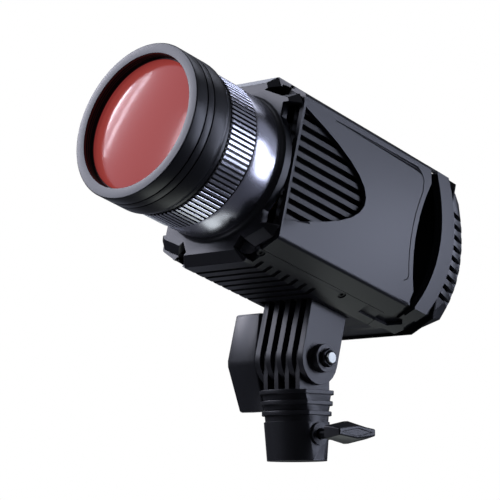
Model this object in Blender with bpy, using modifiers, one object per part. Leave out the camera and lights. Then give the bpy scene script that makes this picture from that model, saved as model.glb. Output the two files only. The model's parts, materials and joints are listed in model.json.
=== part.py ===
"""LED studio light with a focusing lens barrel, on a tilting stand receiver.

The stand receiver is modelled in the world frame, +Z up, with the origin in the mouth of its
socket. The head hangs on an empty on the tilt axis. Inside the head every piece uses the optical
frame: x to the lamp's right-hand side, y up, z forward along the optical axis, with z = 0 over
the tilt axis.
"""
import bpy
import bmesh
from math import asin, atan2, cos, pi, radians, sin
from mathutils import Matrix, Vector

MM = 0.001

# Clearances shared by all pieces
SEAT_GAP = 0.3 * MM             # between pieces that rest on each other
CUT_OVERRUN = 3.0 * MM          # how far a cutter passes the face it opens
WELD = 0.02 * MM                # vertices closer than this are one vertex

# Facets around turned pieces
LARGE_STEPS = 40
MEDIUM_STEPS = 24
SMALL_STEPS = 16
TINY_STEPS = 8
FIN_STEPS = 11
YOKE_STEPS = 13
HOLE_STEPS = 12
HEX_STEPS = 6
FLARE_STEPS = 4
TAIL_STEPS = 3

# Stand receiver
SPIGOT_RADIUS = 8.0 * MM        # 16 mm stand spigot
SOCKET_CLEARANCE = 0.2 * MM
SOCKET_ROOF = 3.1 * MM
SOCKET_CHAMFER = 1.0 * MM
RECEIVER_FOOT_RADIUS = 16.7 * MM
RECEIVER_FLAT_HALF = 16.2 * MM
RECEIVER_HEIGHT = 39.1 * MM     # flat top under the fins
SHOULDER_DROP = 17.7 * MM       # from the top down to the shoulder
SHOULDER_RADIUS = 18.3 * MM
SHOULDER_STEP = 0.8 * MM
RING_RADII = (19.3 * MM, 20.0 * MM, 20.6 * MM)
RING_DROPS = (14.2 * MM, 8.5 * MM, 2.6 * MM)
RING_HEIGHT = 2.3 * MM
RING_PROUD = 1.5 * MM
PIVOT_ABOVE_TOP = 16.9 * MM
FIN_THICKNESS = 3.1 * MM
FIN_RADIUS = 12.2 * MM
FIN_ROOT = 2.0 * MM             # how deep a fin is rooted in the boss
PLATE_PITCH = 8.0 * MM          # yoke plates, and the fins between them

# Tilt yoke
YOKE_PLATES = 5                 # one more than the fins between them
YOKE_PLATE_THICKNESS = 3.9 * MM
YOKE_RADIUS = 14.6 * MM
YOKE_PLATE_ROOT = 3.0 * MM      # how deep the plates pass into the base
YOKE_FLANGE_REACH = 3.0 * MM
YOKE_FLANGE_HEIGHT = 2.5 * MM
YOKE_BOSS_RADIUS = 7.9 * MM
YOKE_BOSS_HEIGHT = 4.6 * MM
NECK_RADIUS = 6.5 * MM          # washer face towards the tilt lock knob
NECK_HEIGHT = 2.6 * MM

# Pivot bolt, nut and tilt lock knob
BOLT_RADIUS = 4.0 * MM
NUT_RADIUS = 5.4 * MM
NUT_HEIGHT = 2.4 * MM
BOLT_STICK_OUT = 1.6 * MM
BOLT_TIP_RADIUS = 3.5 * MM
BOLT_TIP_CHAMFER = 0.5 * MM
KNOB_HALF_HEIGHT = 27.6 * MM
KNOB_END_DEPTH = 5.6 * MM       # half its depth at the top and bottom
KNOB_MIDDLE_DEPTH = 11.0 * MM   # half its depth at the crease
KNOB_END_WIDTH = 19.1 * MM
KNOB_MIDDLE_WIDTH = 22.2 * MM
KNOB_CREASE_HALF = 1.6 * MM
KNOB_EDGE = 1.2 * MM
KNOB_SOCKET_DEPTH = 14.0 * MM
KNOB_REST_TURN = 2.5            # degrees off upright, as photographed

# Thumb screw
SCREW_DROP = 6.8 * MM           # below the shoulder
SCREW_RADIUS = 2.9 * MM
SCREW_PAD_RADIUS = 6.3 * MM
SCREW_PAD_HEIGHT = 1.6 * MM
SCREW_COLLAR_RADIUS = 3.6 * MM
SCREW_COLLAR_LENGTH = 12.0 * MM
PRESSURE_PAD_RADIUS = 2.6 * MM
PRESSURE_PAD_LENGTH = 2.2 * MM
GRIP_INNER_OFFSET = 17.6 * MM   # from the flat of the receiver
GRIP_LENGTH = 11.0 * MM         # along the screw
GRIP_INNER_HALF_SPAN = 15.6 * MM
GRIP_OUTER_HALF_SPAN = 14.8 * MM
GRIP_INNER_HALF_HEIGHT = 6.2 * MM
GRIP_OUTER_HALF_HEIGHT = 3.5 * MM
GRIP_END_SHARE = 0.52           # height of the grip's ends beside its middle
GRIP_INSET = 1.3 * MM
GRIP_INSET_DEPTH = 0.5 * MM

# Head: octagonal body section
TILT_ANGLE = 15.5               # degrees, nose up, as photographed
BODY_ABOVE_PIVOT = 29.1 * MM    # the head's underside above the tilt axis
BODY_HALF_WIDTH = 44.0 * MM
BODY_HALF_HEIGHT = 53.7 * MM
BODY_TOP_HALF = 22.5 * MM
FACET_RISE = 12.2 * MM          # height of the sloping facets
COVER_THICKNESS = 2.5 * MM
CORE_WALL = 2.6 * MM
COVER_EDGE_SHARE = 0.5          # where the covers end on the sloping facets
HOUSING_FRONT = 75.7 * MM
HOUSING_REAR = -28.0 * MM
YOKE_POCKET_DEPTH = 2.0 * MM    # pocket in the underside round the yoke
YOKE_POCKET_SIDE = 1.2 * MM     # how much wider than the yoke it is
YOKE_POCKET_FRONT = 3.8 * MM    # how far it runs in front of the yoke

# Cross slots of the housing
SLOT_PITCH = 7.05 * MM
SLOT_WIDTH = 2.5 * MM
SLOT_DEPTH = 2.8 * MM
FIRST_SLOT = 66.6 * MM
LOWER_SLOTS = 7
UPPER_SLOTS = 13
SCREW_HOLE_RADIUS = 2.5 * MM
SCREW_HOLE_DEPTH = 2.0 * MM
SCREW_HOLE_STATIONS = (72.4 * MM, 5.5 * MM)
SCREW_HOLE_SHARE = 0.39         # along the sloping facet, from its lower edge
SCREW_HEAD_HEIGHT = 1.1 * MM
HEX_RECESS_RADIUS = 1.1 * MM
HEX_RECESS_DEPTH = 0.7 * MM
REAR_INSET_LENGTH = 14.0 * MM
REAR_INSET_RAIL = 4.9 * MM
REAR_INSET_DEPTH = 1.4 * MM

# Side covers and vent grilles
COVER_FRONT = 74.4 * MM
WINDOW_FRONT = 72.6 * MM
WINDOW_VERTEX = 13.5 * MM
WINDOW_MARGIN = 9.0 * MM        # to the cover's upper and lower corner
WINDOW_CENTRE = 2.0 * MM
WINDOW_POINTS = 14
GRILLE_RIM = 0.7 * MM           # how far the grille's rim hides behind the cover
RIB_PITCH = 6.1 * MM
RIB_GAP = 2.7 * MM
GRILLE_MARGIN = 1.6 * MM
GRILLE_MIN_SLOT = 4.0 * MM
SEAM_RADIUS = 0.4 * MM          # groove round the panel
SEAM_FROM_EDGE = 5.0 * MM
SEAM_START = 48.0 * MM
SEAM_FROM_REAR = 4.0 * MM
SEAM_CORNER = 8.0 * MM
SEAM_MARGIN = 8.0 * MM          # from the seam's lower end to the tip of the grip gap
SEAM_HOOK = 3.6 * MM

# Grip gaps, hoop handle and rear shell
GRIP_MARGIN = 1.5 * MM          # from the grip gap's tips to the cover's corners
GRIP_TIP = -40.4 * MM
GRIP_FRONT_BOW = 8.6 * MM       # the front edge bows forward by this
GRIP_REAR_BOW = 12.3 * MM       # the rear edge bows back by this
GRIP_TIP_GAP = 0.6 * MM
COVER_TIP_DROP = 7.0 * MM       # where the cover's rear edge leaves its bow
COVER_TIP_END = -34.6 * MM      # where the cover ends on the sloping facets
HOOP_BAND = 10.6 * MM           # width of the hoop beside the tips
HOOP_REAR_BOW = 13.8 * MM
HOOP_WALL = 2.5 * MM
HOOP_SUNK = 1.4 * MM            # depth of the hoop's lowered parts
HOOP_CROSSING_END = -36.0 * MM  # rear edge of the bands that cross above and below
LOWER_BAND_SHARE = 0.69         # the hoop has its full height from here to the flank
UPPER_BAND_SHARE = 0.55
RAIL_SHARE = 0.2
HOOP_OVERLAP_SHARE = 0.05       # how far tools for the hoop pass each other
LUG_SHARES = (0.1, 0.22, 0.45, 0.33, 0.1)
LUG_CUT_SHARE = 0.3             # how far the cut beside a lug passes its ends
LUG_STATIONS = (-36.0 * MM, -38.7 * MM, -46.0 * MM, -50.6 * MM, -49.0 * MM)
BOW_POINTS = 12
SHELL_WALL = 2.5 * MM
SHELL_STRAIGHT_END = -60.5 * MM
CAP_ACROSS = 39.6 * MM          # radii of the rounding towards the rear face
CAP_ALONG = 41.9 * MM
CAP_DEPTH = 24.5 * MM
ROUNDING_STEPS = 3
SIDE_STEPS = 6                  # along the flanks, so that the rear can bow
CAP_SLOTS = 9
CAP_SLOT_PITCH = 6.2 * MM
CAP_SLOT_WIDTH = 3.0 * MM
CAP_SLOT_FRONT = -66.5 * MM
CAP_SLOT_REACH = 10.5 * MM
CORE_BLOCK_HALF_WIDTH = 17.0 * MM
CORE_BLOCK_REAR = -60.0 * MM
CORE_BLOCK_EDGE = 4.0 * MM
CORE_BLOCK_INSET = 11.0 * MM     # below the head's top and above its underside
BULKHEAD_THICKNESS = 2.5 * MM

# Front bezel
BEZEL_FACE = 81.0 * MM
BEZEL_CHAMFER = 5.0 * MM
LOBE_HALF = 22.0 * MM           # top and bottom lobes
LOBE_ROOT_HALF = 25.5 * MM
LOBE_HEIGHT = 6.2 * MM
SHOULDER_INSET = 3.0 * MM
SIDE_EDGE_DROP = 5.5 * MM
BITE_REACH = 9.5 * MM          # slot between the bezel and the side cover
BITE_MARGIN = 1.0 * MM
COLLAR_END = 84.1 * MM
COLLAR_WALL = 4.3 * MM
COLLAR_FLARE = 2.5 * MM
# Corners of the notches: distance from the middle, and from the top or bottom edge
LOWER_NOTCH = ((21.7 * MM, 13.1 * MM), (32.0 * MM, 5.4 * MM),
               (27.5 * MM, -1.3 * MM), (18.0 * MM, 6.8 * MM))
UPPER_NOTCH = ((19.0 * MM, 9.2 * MM), (33.0 * MM, 14.7 * MM),
               (43.0 * MM, 11.9 * MM), (27.0 * MM, 5.1 * MM))
NOTCH_DEPTH = 10.0 * MM

# Rings and lens barrel
GUIDE_CLEARANCE = 0.7 * MM      # between the tube's flange and the housing's wall
TUBE_WALL = 1.8 * MM
GUIDE_FLANGE = 1.2 * MM
GUIDE_FLANGE_LENGTH = 3.0 * MM
GUIDE_FRONT = 121.4 * MM
POLISHED_TAPER = 0.6 * MM
POLISHED_CROWN = 0.5 * MM
POLISHED_FRONT = 102.2 * MM
FOCUS_FRONT = 122.0 * MM
KNURL_PROUD = 0.5 * MM
KNURL_DEPTH = 1.1 * MM
KNURL_COUNT = 92
KNURL_CREST_SHARE = 0.55
BARREL_TAIL_STEP = 2.7 * MM
BARREL_TAIL_LENGTH = 2.4 * MM
BARREL_PROUD = 1.9 * MM         # beyond the focus ring
BARREL_ROUNDING = 5.4 * MM
BARREL_FRONT = 151.2 * MM
BARREL_LIP = 0.5 * MM
MOUTH_WALL = 5.9 * MM
MOUTH_DEPTH = 12.0 * MM
GROOVE_STATIONS = (142.8 * MM, 137.7 * MM)
GROOVE_WIDTH = 0.8 * MM
GROOVE_DEPTH = 0.6 * MM
FOCUS_TRAVEL = 12.0 * MM
SLEEVE_ENGAGED = 9.4 * MM       # left inside the tube with the barrel right out

# Filter, lenses and light engine
FILTER_EDGE = 2.2 * MM
FILTER_DOME = 3.8 * MM
DOME_STEPS = 4
RETAINER_WALL = 1.7 * MM
RETAINER_LENGTH = 1.4 * MM
LENS_EDGE = 3.0 * MM
LENS_DOME = 7.0 * MM
LENS_REAR = 124.0 * MM
LENS_RETAINER_LENGTH = 2.0 * MM
HEAT_SINK_FRONT = 50.0 * MM
HEAT_SINK_PLATE = 6.0 * MM
HEAT_SINK_LENGTH = 40.0 * MM
HEAT_SINK_CLEARANCE = 7.6 * MM  # to the housing's side walls
HEAT_SINK_HEADROOM = 10.3 * MM
FIN_COUNT = 9
SINK_FIN_THICKNESS = 2.0 * MM
LED_HALF = 13.0 * MM
LED_BOARD = 1.6 * MM
LED_EMITTER_RADIUS = 9.5 * MM
LED_EMITTER_HEIGHT = 0.8 * MM
REFLECTOR_WALL = 1.4 * MM
REFLECTOR_THROAT = 13.6 * MM
REFLECTOR_CLEARANCE = 0.5 * MM
REFLECTOR_LENGTH = 22.0 * MM
FAN_INSET = 1.0 * MM            # narrower than the heat sink by this
FAN_DEPTH = 12.0 * MM
FAN_WALL = 2.4 * MM
FAN_HUB = 11.0 * MM
FAN_HUB_DEPTH = 9.0 * MM
FAN_SPIDER_DEPTH = 2.0 * MM
FAN_SPIDER_ARM = 3.0 * MM
FAN_BLADES = 7
BLADE_TIP_CLEARANCE = 1.0 * MM
BLADE_THICKNESS = 1.3 * MM
BLADE_CHORD = 11.0 * MM
BLADE_PITCH_DEGREES = 35.0
FAN_CORNER = 4.0 * MM
BOARD_INSET = 7.0 * MM          # narrower than the heat sink by this
BOARD_HEADROOM = 2.0 * MM
BOARD_THICKNESS = 1.6 * MM
BOARD_STANDOFF = 3.0 * MM
BOARD_PARTS_HEIGHT = 7.0 * MM

# Rear control panel
# Shares of the head's half width and height, and for the panel's fittings of the panel's own
PANEL_SHARES = (0.5455, 0.6145)
PANEL_THICKNESS = 2.2 * MM
PANEL_RECESS = 11.7 * MM        # between the cheeks of the rear face
PANEL_CORNER = 4.0 * MM
DISPLAY_SHARES = (0.667, 0.227)
DISPLAY_CENTRE_SHARE = 0.636
DISPLAY_THICKNESS = 0.9 * MM
DIAL_RADIUS = 8.0 * MM
DIAL_HEIGHT = 8.6 * MM
DIAL_RIBS = 18
DIAL_RIB_DEPTH = 0.5 * MM
DIAL_CREST_SHARE = 0.5
DIAL_STEM_RADIUS = 3.0 * MM
DIAL_CENTRE_SHARE = 0.06
DIAL_MARK_DEPTH = 0.5 * MM
DIAL_MARK_WIDTH = 1.2 * MM
BUTTON_RADIUS = 3.0 * MM
BUTTON_HEIGHT = 1.8 * MM
BUTTON_OFFSET_SHARE = 0.708
BUTTON_TRAVEL = 1.0 * MM
INLET_CENTRE_SHARES = (-0.317, -0.624)
INLET_SHARES = (0.633, 0.339)
INLET_DEPTH = 14.0 * MM
INLET_RIM = 1.2 * MM
INLET_FLANGE = 1.7 * MM
PIN_HALF_WIDTH = 1.0 * MM
PIN_HALF_HEIGHT = 2.0 * MM
PIN_SPREAD_SHARE = 0.46          # of the inlet's half width
PIN_RISE = 2.4 * MM
PIN_START = 4.2 * MM            # how deep the pins' tips lie behind the panel's face
ROCKER_CENTRE_SHARES = (0.642, -0.624)
ROCKER_SHARES = (0.217, 0.261)
ROCKER_PROUD = 2.2 * MM
ROCKER_SWING = 9.0              # degrees each way
PANEL_SCREW_RADIUS = 1.5 * MM
PANEL_SCREW_HEIGHT = 0.9 * MM
PANEL_SCREW_INSET = 3.2 * MM
PANEL_SCREW_LOW_SHARE = -0.188

# Derived places
PIVOT_HEIGHT = RECEIVER_HEIGHT + PIVOT_ABOVE_TOP
SOCKET_DEPTH = RECEIVER_HEIGHT - SOCKET_ROOF
SHOULDER_HEIGHT = RECEIVER_HEIGHT - SHOULDER_DROP
SCREW_HEIGHT = SHOULDER_HEIGHT - SCREW_DROP
SOCKET_RADIUS = SPIGOT_RADIUS + SOCKET_CLEARANCE
YOKE_SIDE = (YOKE_PLATES - 1) / 2 * PLATE_PITCH + YOKE_PLATE_THICKNESS / 2
AXIS_HEIGHT = BODY_HALF_HEIGHT + BODY_ABOVE_PIVOT
BODY_SIDE_HALF = BODY_HALF_HEIGHT - FACET_RISE
YOKE_TOP = -BODY_HALF_HEIGHT    # in the optical frame
COVER_SEAT = COVER_THICKNESS + SEAT_GAP
CORE_INSET = COVER_SEAT + CORE_WALL
BEZEL_BACK = HOUSING_FRONT + SEAT_GAP
GUIDE_RADIUS = BODY_HALF_WIDTH - CORE_INSET - GUIDE_CLEARANCE - GUIDE_FLANGE
TUBE_SEAT_RADIUS = GUIDE_RADIUS + SEAT_GAP
COLLAR_RADIUS = TUBE_SEAT_RADIUS + COLLAR_WALL
COLLAR_BASE_RADIUS = COLLAR_RADIUS + COLLAR_FLARE
POLISHED_FRONT_RADIUS = COLLAR_RADIUS + POLISHED_TAPER
KNURL_RADIUS = POLISHED_FRONT_RADIUS + KNURL_PROUD
BARREL_RADIUS = KNURL_RADIUS + BARREL_PROUD
BARREL_TAIL_RADIUS = BARREL_RADIUS - BARREL_TAIL_STEP
MOUTH_RADIUS = BARREL_RADIUS - MOUTH_WALL
REFLECTOR_MOUTH = GUIDE_RADIUS - TUBE_WALL - REFLECTOR_CLEARANCE - REFLECTOR_WALL
HEAT_SINK_HALF_WIDTH = BODY_HALF_WIDTH - CORE_INSET - HEAT_SINK_CLEARANCE
FAN_HALF = HEAT_SINK_HALF_WIDTH - FAN_INSET
FAN_BORE = FAN_HALF - FAN_WALL
BOARD_HALF_WIDTH = HEAT_SINK_HALF_WIDTH - BOARD_INSET
HEAT_SINK_HALF_HEIGHT = BODY_HALF_HEIGHT - CORE_INSET - HEAT_SINK_HEADROOM
BOARD_HALF_HEIGHT = HEAT_SINK_HALF_HEIGHT - BOARD_HEADROOM
WINDOW_HALF_HEIGHT = BODY_SIDE_HALF - WINDOW_MARGIN
GRIP_HALF_HEIGHT = BODY_SIDE_HALF - GRIP_MARGIN
COVER_TIP_HALF = GRIP_HALF_HEIGHT - COVER_TIP_DROP
SEAM_LOW = GRIP_HALF_HEIGHT - SEAM_MARGIN
SIDE_EDGE = BODY_SIDE_HALF - SIDE_EDGE_DROP
BITE_HALF = SIDE_EDGE - BITE_MARGIN
BITE_INNER = BODY_HALF_WIDTH - BITE_REACH
POLISHED_REAR = COLLAR_END + SEAT_GAP
FOCUS_REAR = POLISHED_FRONT + SEAT_GAP
BARREL_REAR = FOCUS_FRONT + SEAT_GAP
SLEEVE_RADIUS = GUIDE_RADIUS - TUBE_WALL - SEAT_GAP
SLEEVE_BORE = SLEEVE_RADIUS - TUBE_WALL
SLEEVE_REAR = GUIDE_FRONT - FOCUS_TRAVEL - SLEEVE_ENGAGED
MOUTH_FLOOR = BARREL_FRONT - MOUTH_DEPTH
SHELL_FRONT = HOUSING_REAR - SEAT_GAP
REAR_FACE = SHELL_STRAIGHT_END - CAP_DEPTH
PANEL_SEAT = REAR_FACE + PANEL_RECESS
PANEL_FACE = PANEL_SEAT - SEAT_GAP - PANEL_THICKNESS
PANEL_HALF_WIDTH = BODY_HALF_WIDTH * PANEL_SHARES[0]
PANEL_HALF_HEIGHT = BODY_HALF_HEIGHT * PANEL_SHARES[1]
DISPLAY_HALF_WIDTH = PANEL_HALF_WIDTH * DISPLAY_SHARES[0]
DISPLAY_HALF_HEIGHT = PANEL_HALF_HEIGHT * DISPLAY_SHARES[1]
DISPLAY_CENTRE = PANEL_HALF_HEIGHT * DISPLAY_CENTRE_SHARE
DIAL_CENTRE = PANEL_HALF_HEIGHT * DIAL_CENTRE_SHARE
BUTTON_OFFSET = PANEL_HALF_WIDTH * BUTTON_OFFSET_SHARE
INLET_CENTRE = (PANEL_HALF_WIDTH * INLET_CENTRE_SHARES[0], PANEL_HALF_HEIGHT * INLET_CENTRE_SHARES[1])
INLET_HALF_WIDTH = PANEL_HALF_WIDTH * INLET_SHARES[0]
INLET_HALF_HEIGHT = PANEL_HALF_HEIGHT * INLET_SHARES[1]
PIN_SPREAD = INLET_HALF_WIDTH * PIN_SPREAD_SHARE
ROCKER_CENTRE = (PANEL_HALF_WIDTH * ROCKER_CENTRE_SHARES[0], PANEL_HALF_HEIGHT * ROCKER_CENTRE_SHARES[1])
ROCKER_HALF_WIDTH = PANEL_HALF_WIDTH * ROCKER_SHARES[0]
ROCKER_HALF_HEIGHT = PANEL_HALF_HEIGHT * ROCKER_SHARES[1]
PANEL_SCREW_LOW = PANEL_HALF_HEIGHT * PANEL_SCREW_LOW_SHARE

# Ways to stand a flat outline up: the axes that its own x, y and thickness take
FLAT = ("x", "y", "z")
UPRIGHT = ("y", "z", "x")       # receiver fins: outline in y and z, thick along x
SIDE_ON = ("z", "y", "x")       # head: outline in z and y, thick along x
COMB = ("x", "z", "y")          # head: outline in x and z, thick along y
AXES = {"x": Vector((1, 0, 0)), "y": Vector((0, 1, 0)), "z": Vector((0, 0, 1))}


def clear_scene():
    for item in list(bpy.data.objects):
        bpy.data.objects.remove(item, do_unlink=True)


def new_collection(name):
    collection = bpy.data.collections.new(name)
    bpy.context.scene.collection.children.link(collection)
    return collection


clear_scene()
PARTS = new_collection("led_studio_light")
CUTTERS = new_collection("cutters")


def new_material(name, colour, roughness, metallic=0.0):
    material = bpy.data.materials.new(name)
    material.use_nodes = True
    shader = material.node_tree.nodes["Principled BSDF"]
    shader.inputs["Base Color"].default_value = (*colour, 1.0)
    shader.inputs["Roughness"].default_value = roughness
    shader.inputs["Metallic"].default_value = metallic
    material.diffuse_color = (*colour, 1.0)
    return material


BODY_GREY = new_material("body_grey", (0.10, 0.105, 0.135), 0.5)
PANEL_GREY = new_material("panel_grey", (0.115, 0.12, 0.15), 0.45)
SATIN_BLACK = new_material("satin_black", (0.018, 0.018, 0.02), 0.4)
DEEP_BLACK = new_material("deep_black", (0.008, 0.008, 0.009), 0.7)
POLISHED_METAL = new_material("polished_metal", (0.22, 0.22, 0.25), 0.15, 1.0)
BRIGHT_STEEL = new_material("bright_steel", (0.6, 0.61, 0.61), 0.25, 1.0)
ALUMINIUM = new_material("aluminium", (0.5, 0.5, 0.5), 0.4, 1.0)
RED_FILTER = new_material("red_filter", (0.48, 0.10, 0.10), 0.2)
CLEAR_GLASS = new_material("clear_glass", (0.75, 0.8, 0.82), 0.05)
LED_YELLOW = new_material("led_yellow", (0.8, 0.6, 0.1), 0.5)
BOARD_GREEN = new_material("board_green", (0.02, 0.12, 0.05), 0.5)
DISPLAY_BLACK = new_material("display_black", (0.01, 0.012, 0.015), 0.1)
BRASS = new_material("brass", (0.6, 0.45, 0.18), 0.3, 1.0)


def empty(name, location, rotation=(0.0, 0.0, 0.0), parent=None):
    item = bpy.data.objects.new(name, None)
    item.location = location
    item.rotation_euler = rotation
    item.parent = parent
    PARTS.objects.link(item)
    return item


TILT_AXIS = empty("tilt_axis", (0, 0, PIVOT_HEIGHT), (radians(-TILT_ANGLE), 0, 0))
OPTICAL_AXIS = empty("optical_axis", (0, 0, AXIS_HEIGHT), (pi / 2, 0, 0), TILT_AXIS)
BOLT_AXIS = empty("bolt_axis", (0, 0, PIVOT_HEIGHT), (0, pi / 2, 0))
SCREW_AXIS = empty("screw_axis", (0, 0, SCREW_HEIGHT), (0, pi / 2, 0))
DIAL_AXIS = empty("dial_axis", (0, DIAL_CENTRE, 0), (0, 0, 0), OPTICAL_AXIS)


def finish(name, mesh, parent=None, material=None):
    """Put a mesh in the scene: a part when it has a material, otherwise a cutter."""
    item = bpy.data.objects.new(name, mesh)
    item.parent = parent
    if material is None:
        CUTTERS.objects.link(item)
        item.hide_render = True
        item.display_type = "WIRE"
    else:
        PARTS.objects.link(item)
        mesh.materials.append(material)
    return item


def tidy_mesh(mesh, matrix=None):
    """Weld the mesh, take it to its place and turn its faces outwards."""
    work = bmesh.new()
    work.from_mesh(mesh)
    bmesh.ops.remove_doubles(work, verts=work.verts, dist=WELD)
    if matrix is not None:
        bmesh.ops.transform(work, matrix=matrix, verts=work.verts)
    bmesh.ops.recalc_face_normals(work, faces=work.faces)
    work.to_mesh(mesh)
    work.free()


def flat_solid(name, outlines, low, high, parent, material=None, axes=FLAT):
    """Extrude closed outlines between two heights. Outlines inside the first are holes."""
    curve = bpy.data.curves.new(name, "CURVE")
    curve.dimensions = "2D"
    curve.fill_mode = "BOTH"
    curve.extrude = (high - low) / 2
    for outline in outlines:
        spline = curve.splines.new("POLY")
        spline.points.add(len(outline) - 1)
        for point, (across, up) in zip(spline.points, outline):
            point.co = (across, up, 0, 1)
        spline.use_cyclic_u = True
    guide = bpy.data.objects.new(name + "_outline", curve)
    CUTTERS.objects.link(guide)
    bpy.context.view_layer.update()
    mesh = bpy.data.meshes.new_from_object(guide.evaluated_get(bpy.context.evaluated_depsgraph_get()))
    bpy.data.objects.remove(guide, do_unlink=True)
    mesh.name = name
    columns = Matrix([AXES[axis] for axis in axes]).transposed().to_4x4()
    tidy_mesh(mesh, columns @ Matrix.Translation((0, 0, (low + high) / 2)))
    return finish(name, mesh, parent, material)


def turned(name, profile, steps, parent, material=None, ring=False):
    """Turn a profile of (radius, height) points about the parent's z axis.

    A ring's profile is a closed loop. Any other profile starts and ends on the axis.
    """
    area = sum(a[0] * b[1] - b[0] * a[1] for a, b in zip(profile, profile[1:] + profile[:1]))
    points = list(reversed(profile)) if area > 0 else list(profile)
    edges = [(i, i + 1) for i in range(len(points) - 1)]
    if ring:
        edges.append((len(points) - 1, 0))
    mesh = bpy.data.meshes.new(name)
    mesh.from_pydata([(radius, 0, height) for radius, height in points], edges, [])
    item = finish(name, mesh, parent, material)
    screw = item.modifiers.new("turn", "SCREW")
    screw.axis = "Z"
    screw.steps = steps
    screw.render_steps = steps
    screw.use_merge_vertices = True
    screw.merge_threshold = WELD
    return item


def lofted(name, sections, parent, material=None):
    """Skin a run of flat outlines, each at its own height."""
    rows = [[(x, y, z) for x, y in outline] for outline, z in sections]
    return skinned(name, rows, parent, material)


def skinned(name, rows, parent, material=None):
    """Skin rows of points whose second half mirrors the first, so that strips close both ends."""
    mesh = bpy.data.meshes.new(name)
    work = bmesh.new()
    rings = [[work.verts.new(point) for point in row] for row in rows]
    count = len(rings[0])
    for low, high in zip(rings, rings[1:]):
        for i in range(count):
            j = (i + 1) % count
            work.faces.new((low[i], low[j], high[j], high[i]))
    for ring in (rings[0], rings[-1]):
        for i in range(count // 2 - 1):
            work.faces.new((ring[i], ring[i + 1], ring[count - 2 - i], ring[count - 1 - i]))
    bmesh.ops.recalc_face_normals(work, faces=work.faces)
    work.to_mesh(mesh)
    work.free()
    return finish(name, mesh, parent, material)


def blocks(name, boxes, parent, material=None):
    """Boxes given as ((x0, x1), (y0, y1), (z0, z1)), kept as separate bodies of one mesh."""
    mesh = bpy.data.meshes.new(name)
    work = bmesh.new()
    for spans in boxes:
        centre = Vector([(low + high) / 2 for low, high in spans])
        size = [high - low for low, high in spans]
        matrix = Matrix.Translation(centre) @ Matrix.Diagonal((*size, 1.0))
        bmesh.ops.create_cube(work, size=1.0, matrix=matrix)
    work.to_mesh(mesh)
    work.free()
    return finish(name, mesh, parent, material)


def rods(name, places, radius, low, high, parent, material=None, steps=TINY_STEPS):
    """Straight rods, one along the z axis of each matrix in places."""
    mesh = bpy.data.meshes.new(name)
    work = bmesh.new()
    for matrix in places:
        lift = Matrix.Translation((0, 0, (low + high) / 2))
        bmesh.ops.create_cone(work, cap_ends=True, segments=steps, radius1=radius, radius2=radius,
                              depth=high - low, matrix=matrix @ lift)
    work.to_mesh(mesh)
    work.free()
    return finish(name, mesh, parent, material)


def apply_boolean(target, tool, operation):
    modifier = target.modifiers.new(tool.name, "BOOLEAN")
    modifier.operation = operation
    modifier.object = tool
    modifier.solver = "EXACT"


def cut(target, *tools):
    for tool in tools:
        apply_boolean(target, tool, "DIFFERENCE")


def join(target, *tools):
    for tool in tools:
        apply_boolean(target, tool, "UNION")


def keep_inside(target, tool):
    apply_boolean(target, tool, "INTERSECT")


def soften(item, width, segments=1, angle=30.0):
    bevel = item.modifiers.new("edges", "BEVEL")
    bevel.width = width
    bevel.segments = segments
    bevel.limit_method = "ANGLE"
    bevel.angle_limit = radians(angle)


def smooth(item, angle=35.0):
    """Shade round walls smooth. A turned piece takes it from its modifier."""
    for modifier in item.modifiers:
        if modifier.type == "SCREW":
            modifier.use_smooth_shade = True
    if item.data.polygons:
        item.data.shade_smooth()
        item.data.set_sharp_from_angle(angle=radians(angle))


def arc(centre, radius, start, end, count):
    """Points on an arc, angles in degrees, both ends included."""
    angles = [radians(start + (end - start) * i / (count - 1)) for i in range(count)]
    return [(centre[0] + radius * cos(a), centre[1] + radius * sin(a)) for a in angles]


def circle(radius, steps, centre=(0.0, 0.0)):
    return arc(centre, radius, 0, 360 - 360 / steps, steps)


def rectangle(half_width, half_height, corner, centre=(0.0, 0.0), count=4):
    """A rectangle with rounded corners."""
    points = []
    for turn, (sx, sy) in enumerate(((1, 1), (-1, 1), (-1, -1), (1, -1))):
        middle = (centre[0] + sx * (half_width - corner), centre[1] + sy * (half_height - corner))
        points += arc(middle, corner, 90 * turn, 90 * turn + 90, count)
    return points


def offset_outline(points, distance):
    """Move every edge of a counter-clockwise outline outwards by the distance."""
    moved = []
    for i, point in enumerate(points):
        before = Vector(point) - Vector(points[i - 1])
        after = Vector(points[(i + 1) % len(points)]) - Vector(point)
        first = Vector((before.y, -before.x)).normalized()
        second = Vector((after.y, -after.x)).normalized()
        reach = (first + second) / (1 + first.dot(second))
        moved.append((point[0] + reach.x * distance, point[1] + reach.y * distance))
    return moved


def mirrored(right_half):
    """Close a right-hand half, listed from bottom to top, with its mirror image."""
    return list(right_half) + [(-x, y) for x, y in reversed(right_half)]


def octagon(inset=0.0):
    right = [(BODY_TOP_HALF, -BODY_HALF_HEIGHT), (BODY_HALF_WIDTH, -BODY_SIDE_HALF),
             (BODY_HALF_WIDTH, BODY_SIDE_HALF), (BODY_TOP_HALF, BODY_HALF_HEIGHT)]
    return offset_outline(mirrored(right), -inset)


def facet_direction():
    """Unit vectors along and out of the lower right sloping facet."""
    along = Vector((BODY_HALF_WIDTH - BODY_TOP_HALF, BODY_HALF_HEIGHT - BODY_SIDE_HALF)).normalized()
    return along, Vector((along.y, -along.x))


def on_facet(share, depth=0.0):
    """A point on the lower right sloping facet, from its lower edge, sunk by a depth."""
    along, outward = facet_direction()
    low = Vector((BODY_TOP_HALF, -BODY_HALF_HEIGHT))
    high = Vector((BODY_HALF_WIDTH, -BODY_SIDE_HALF))
    point = low.lerp(high, share) - outward * depth
    return point.x, point.y


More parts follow.
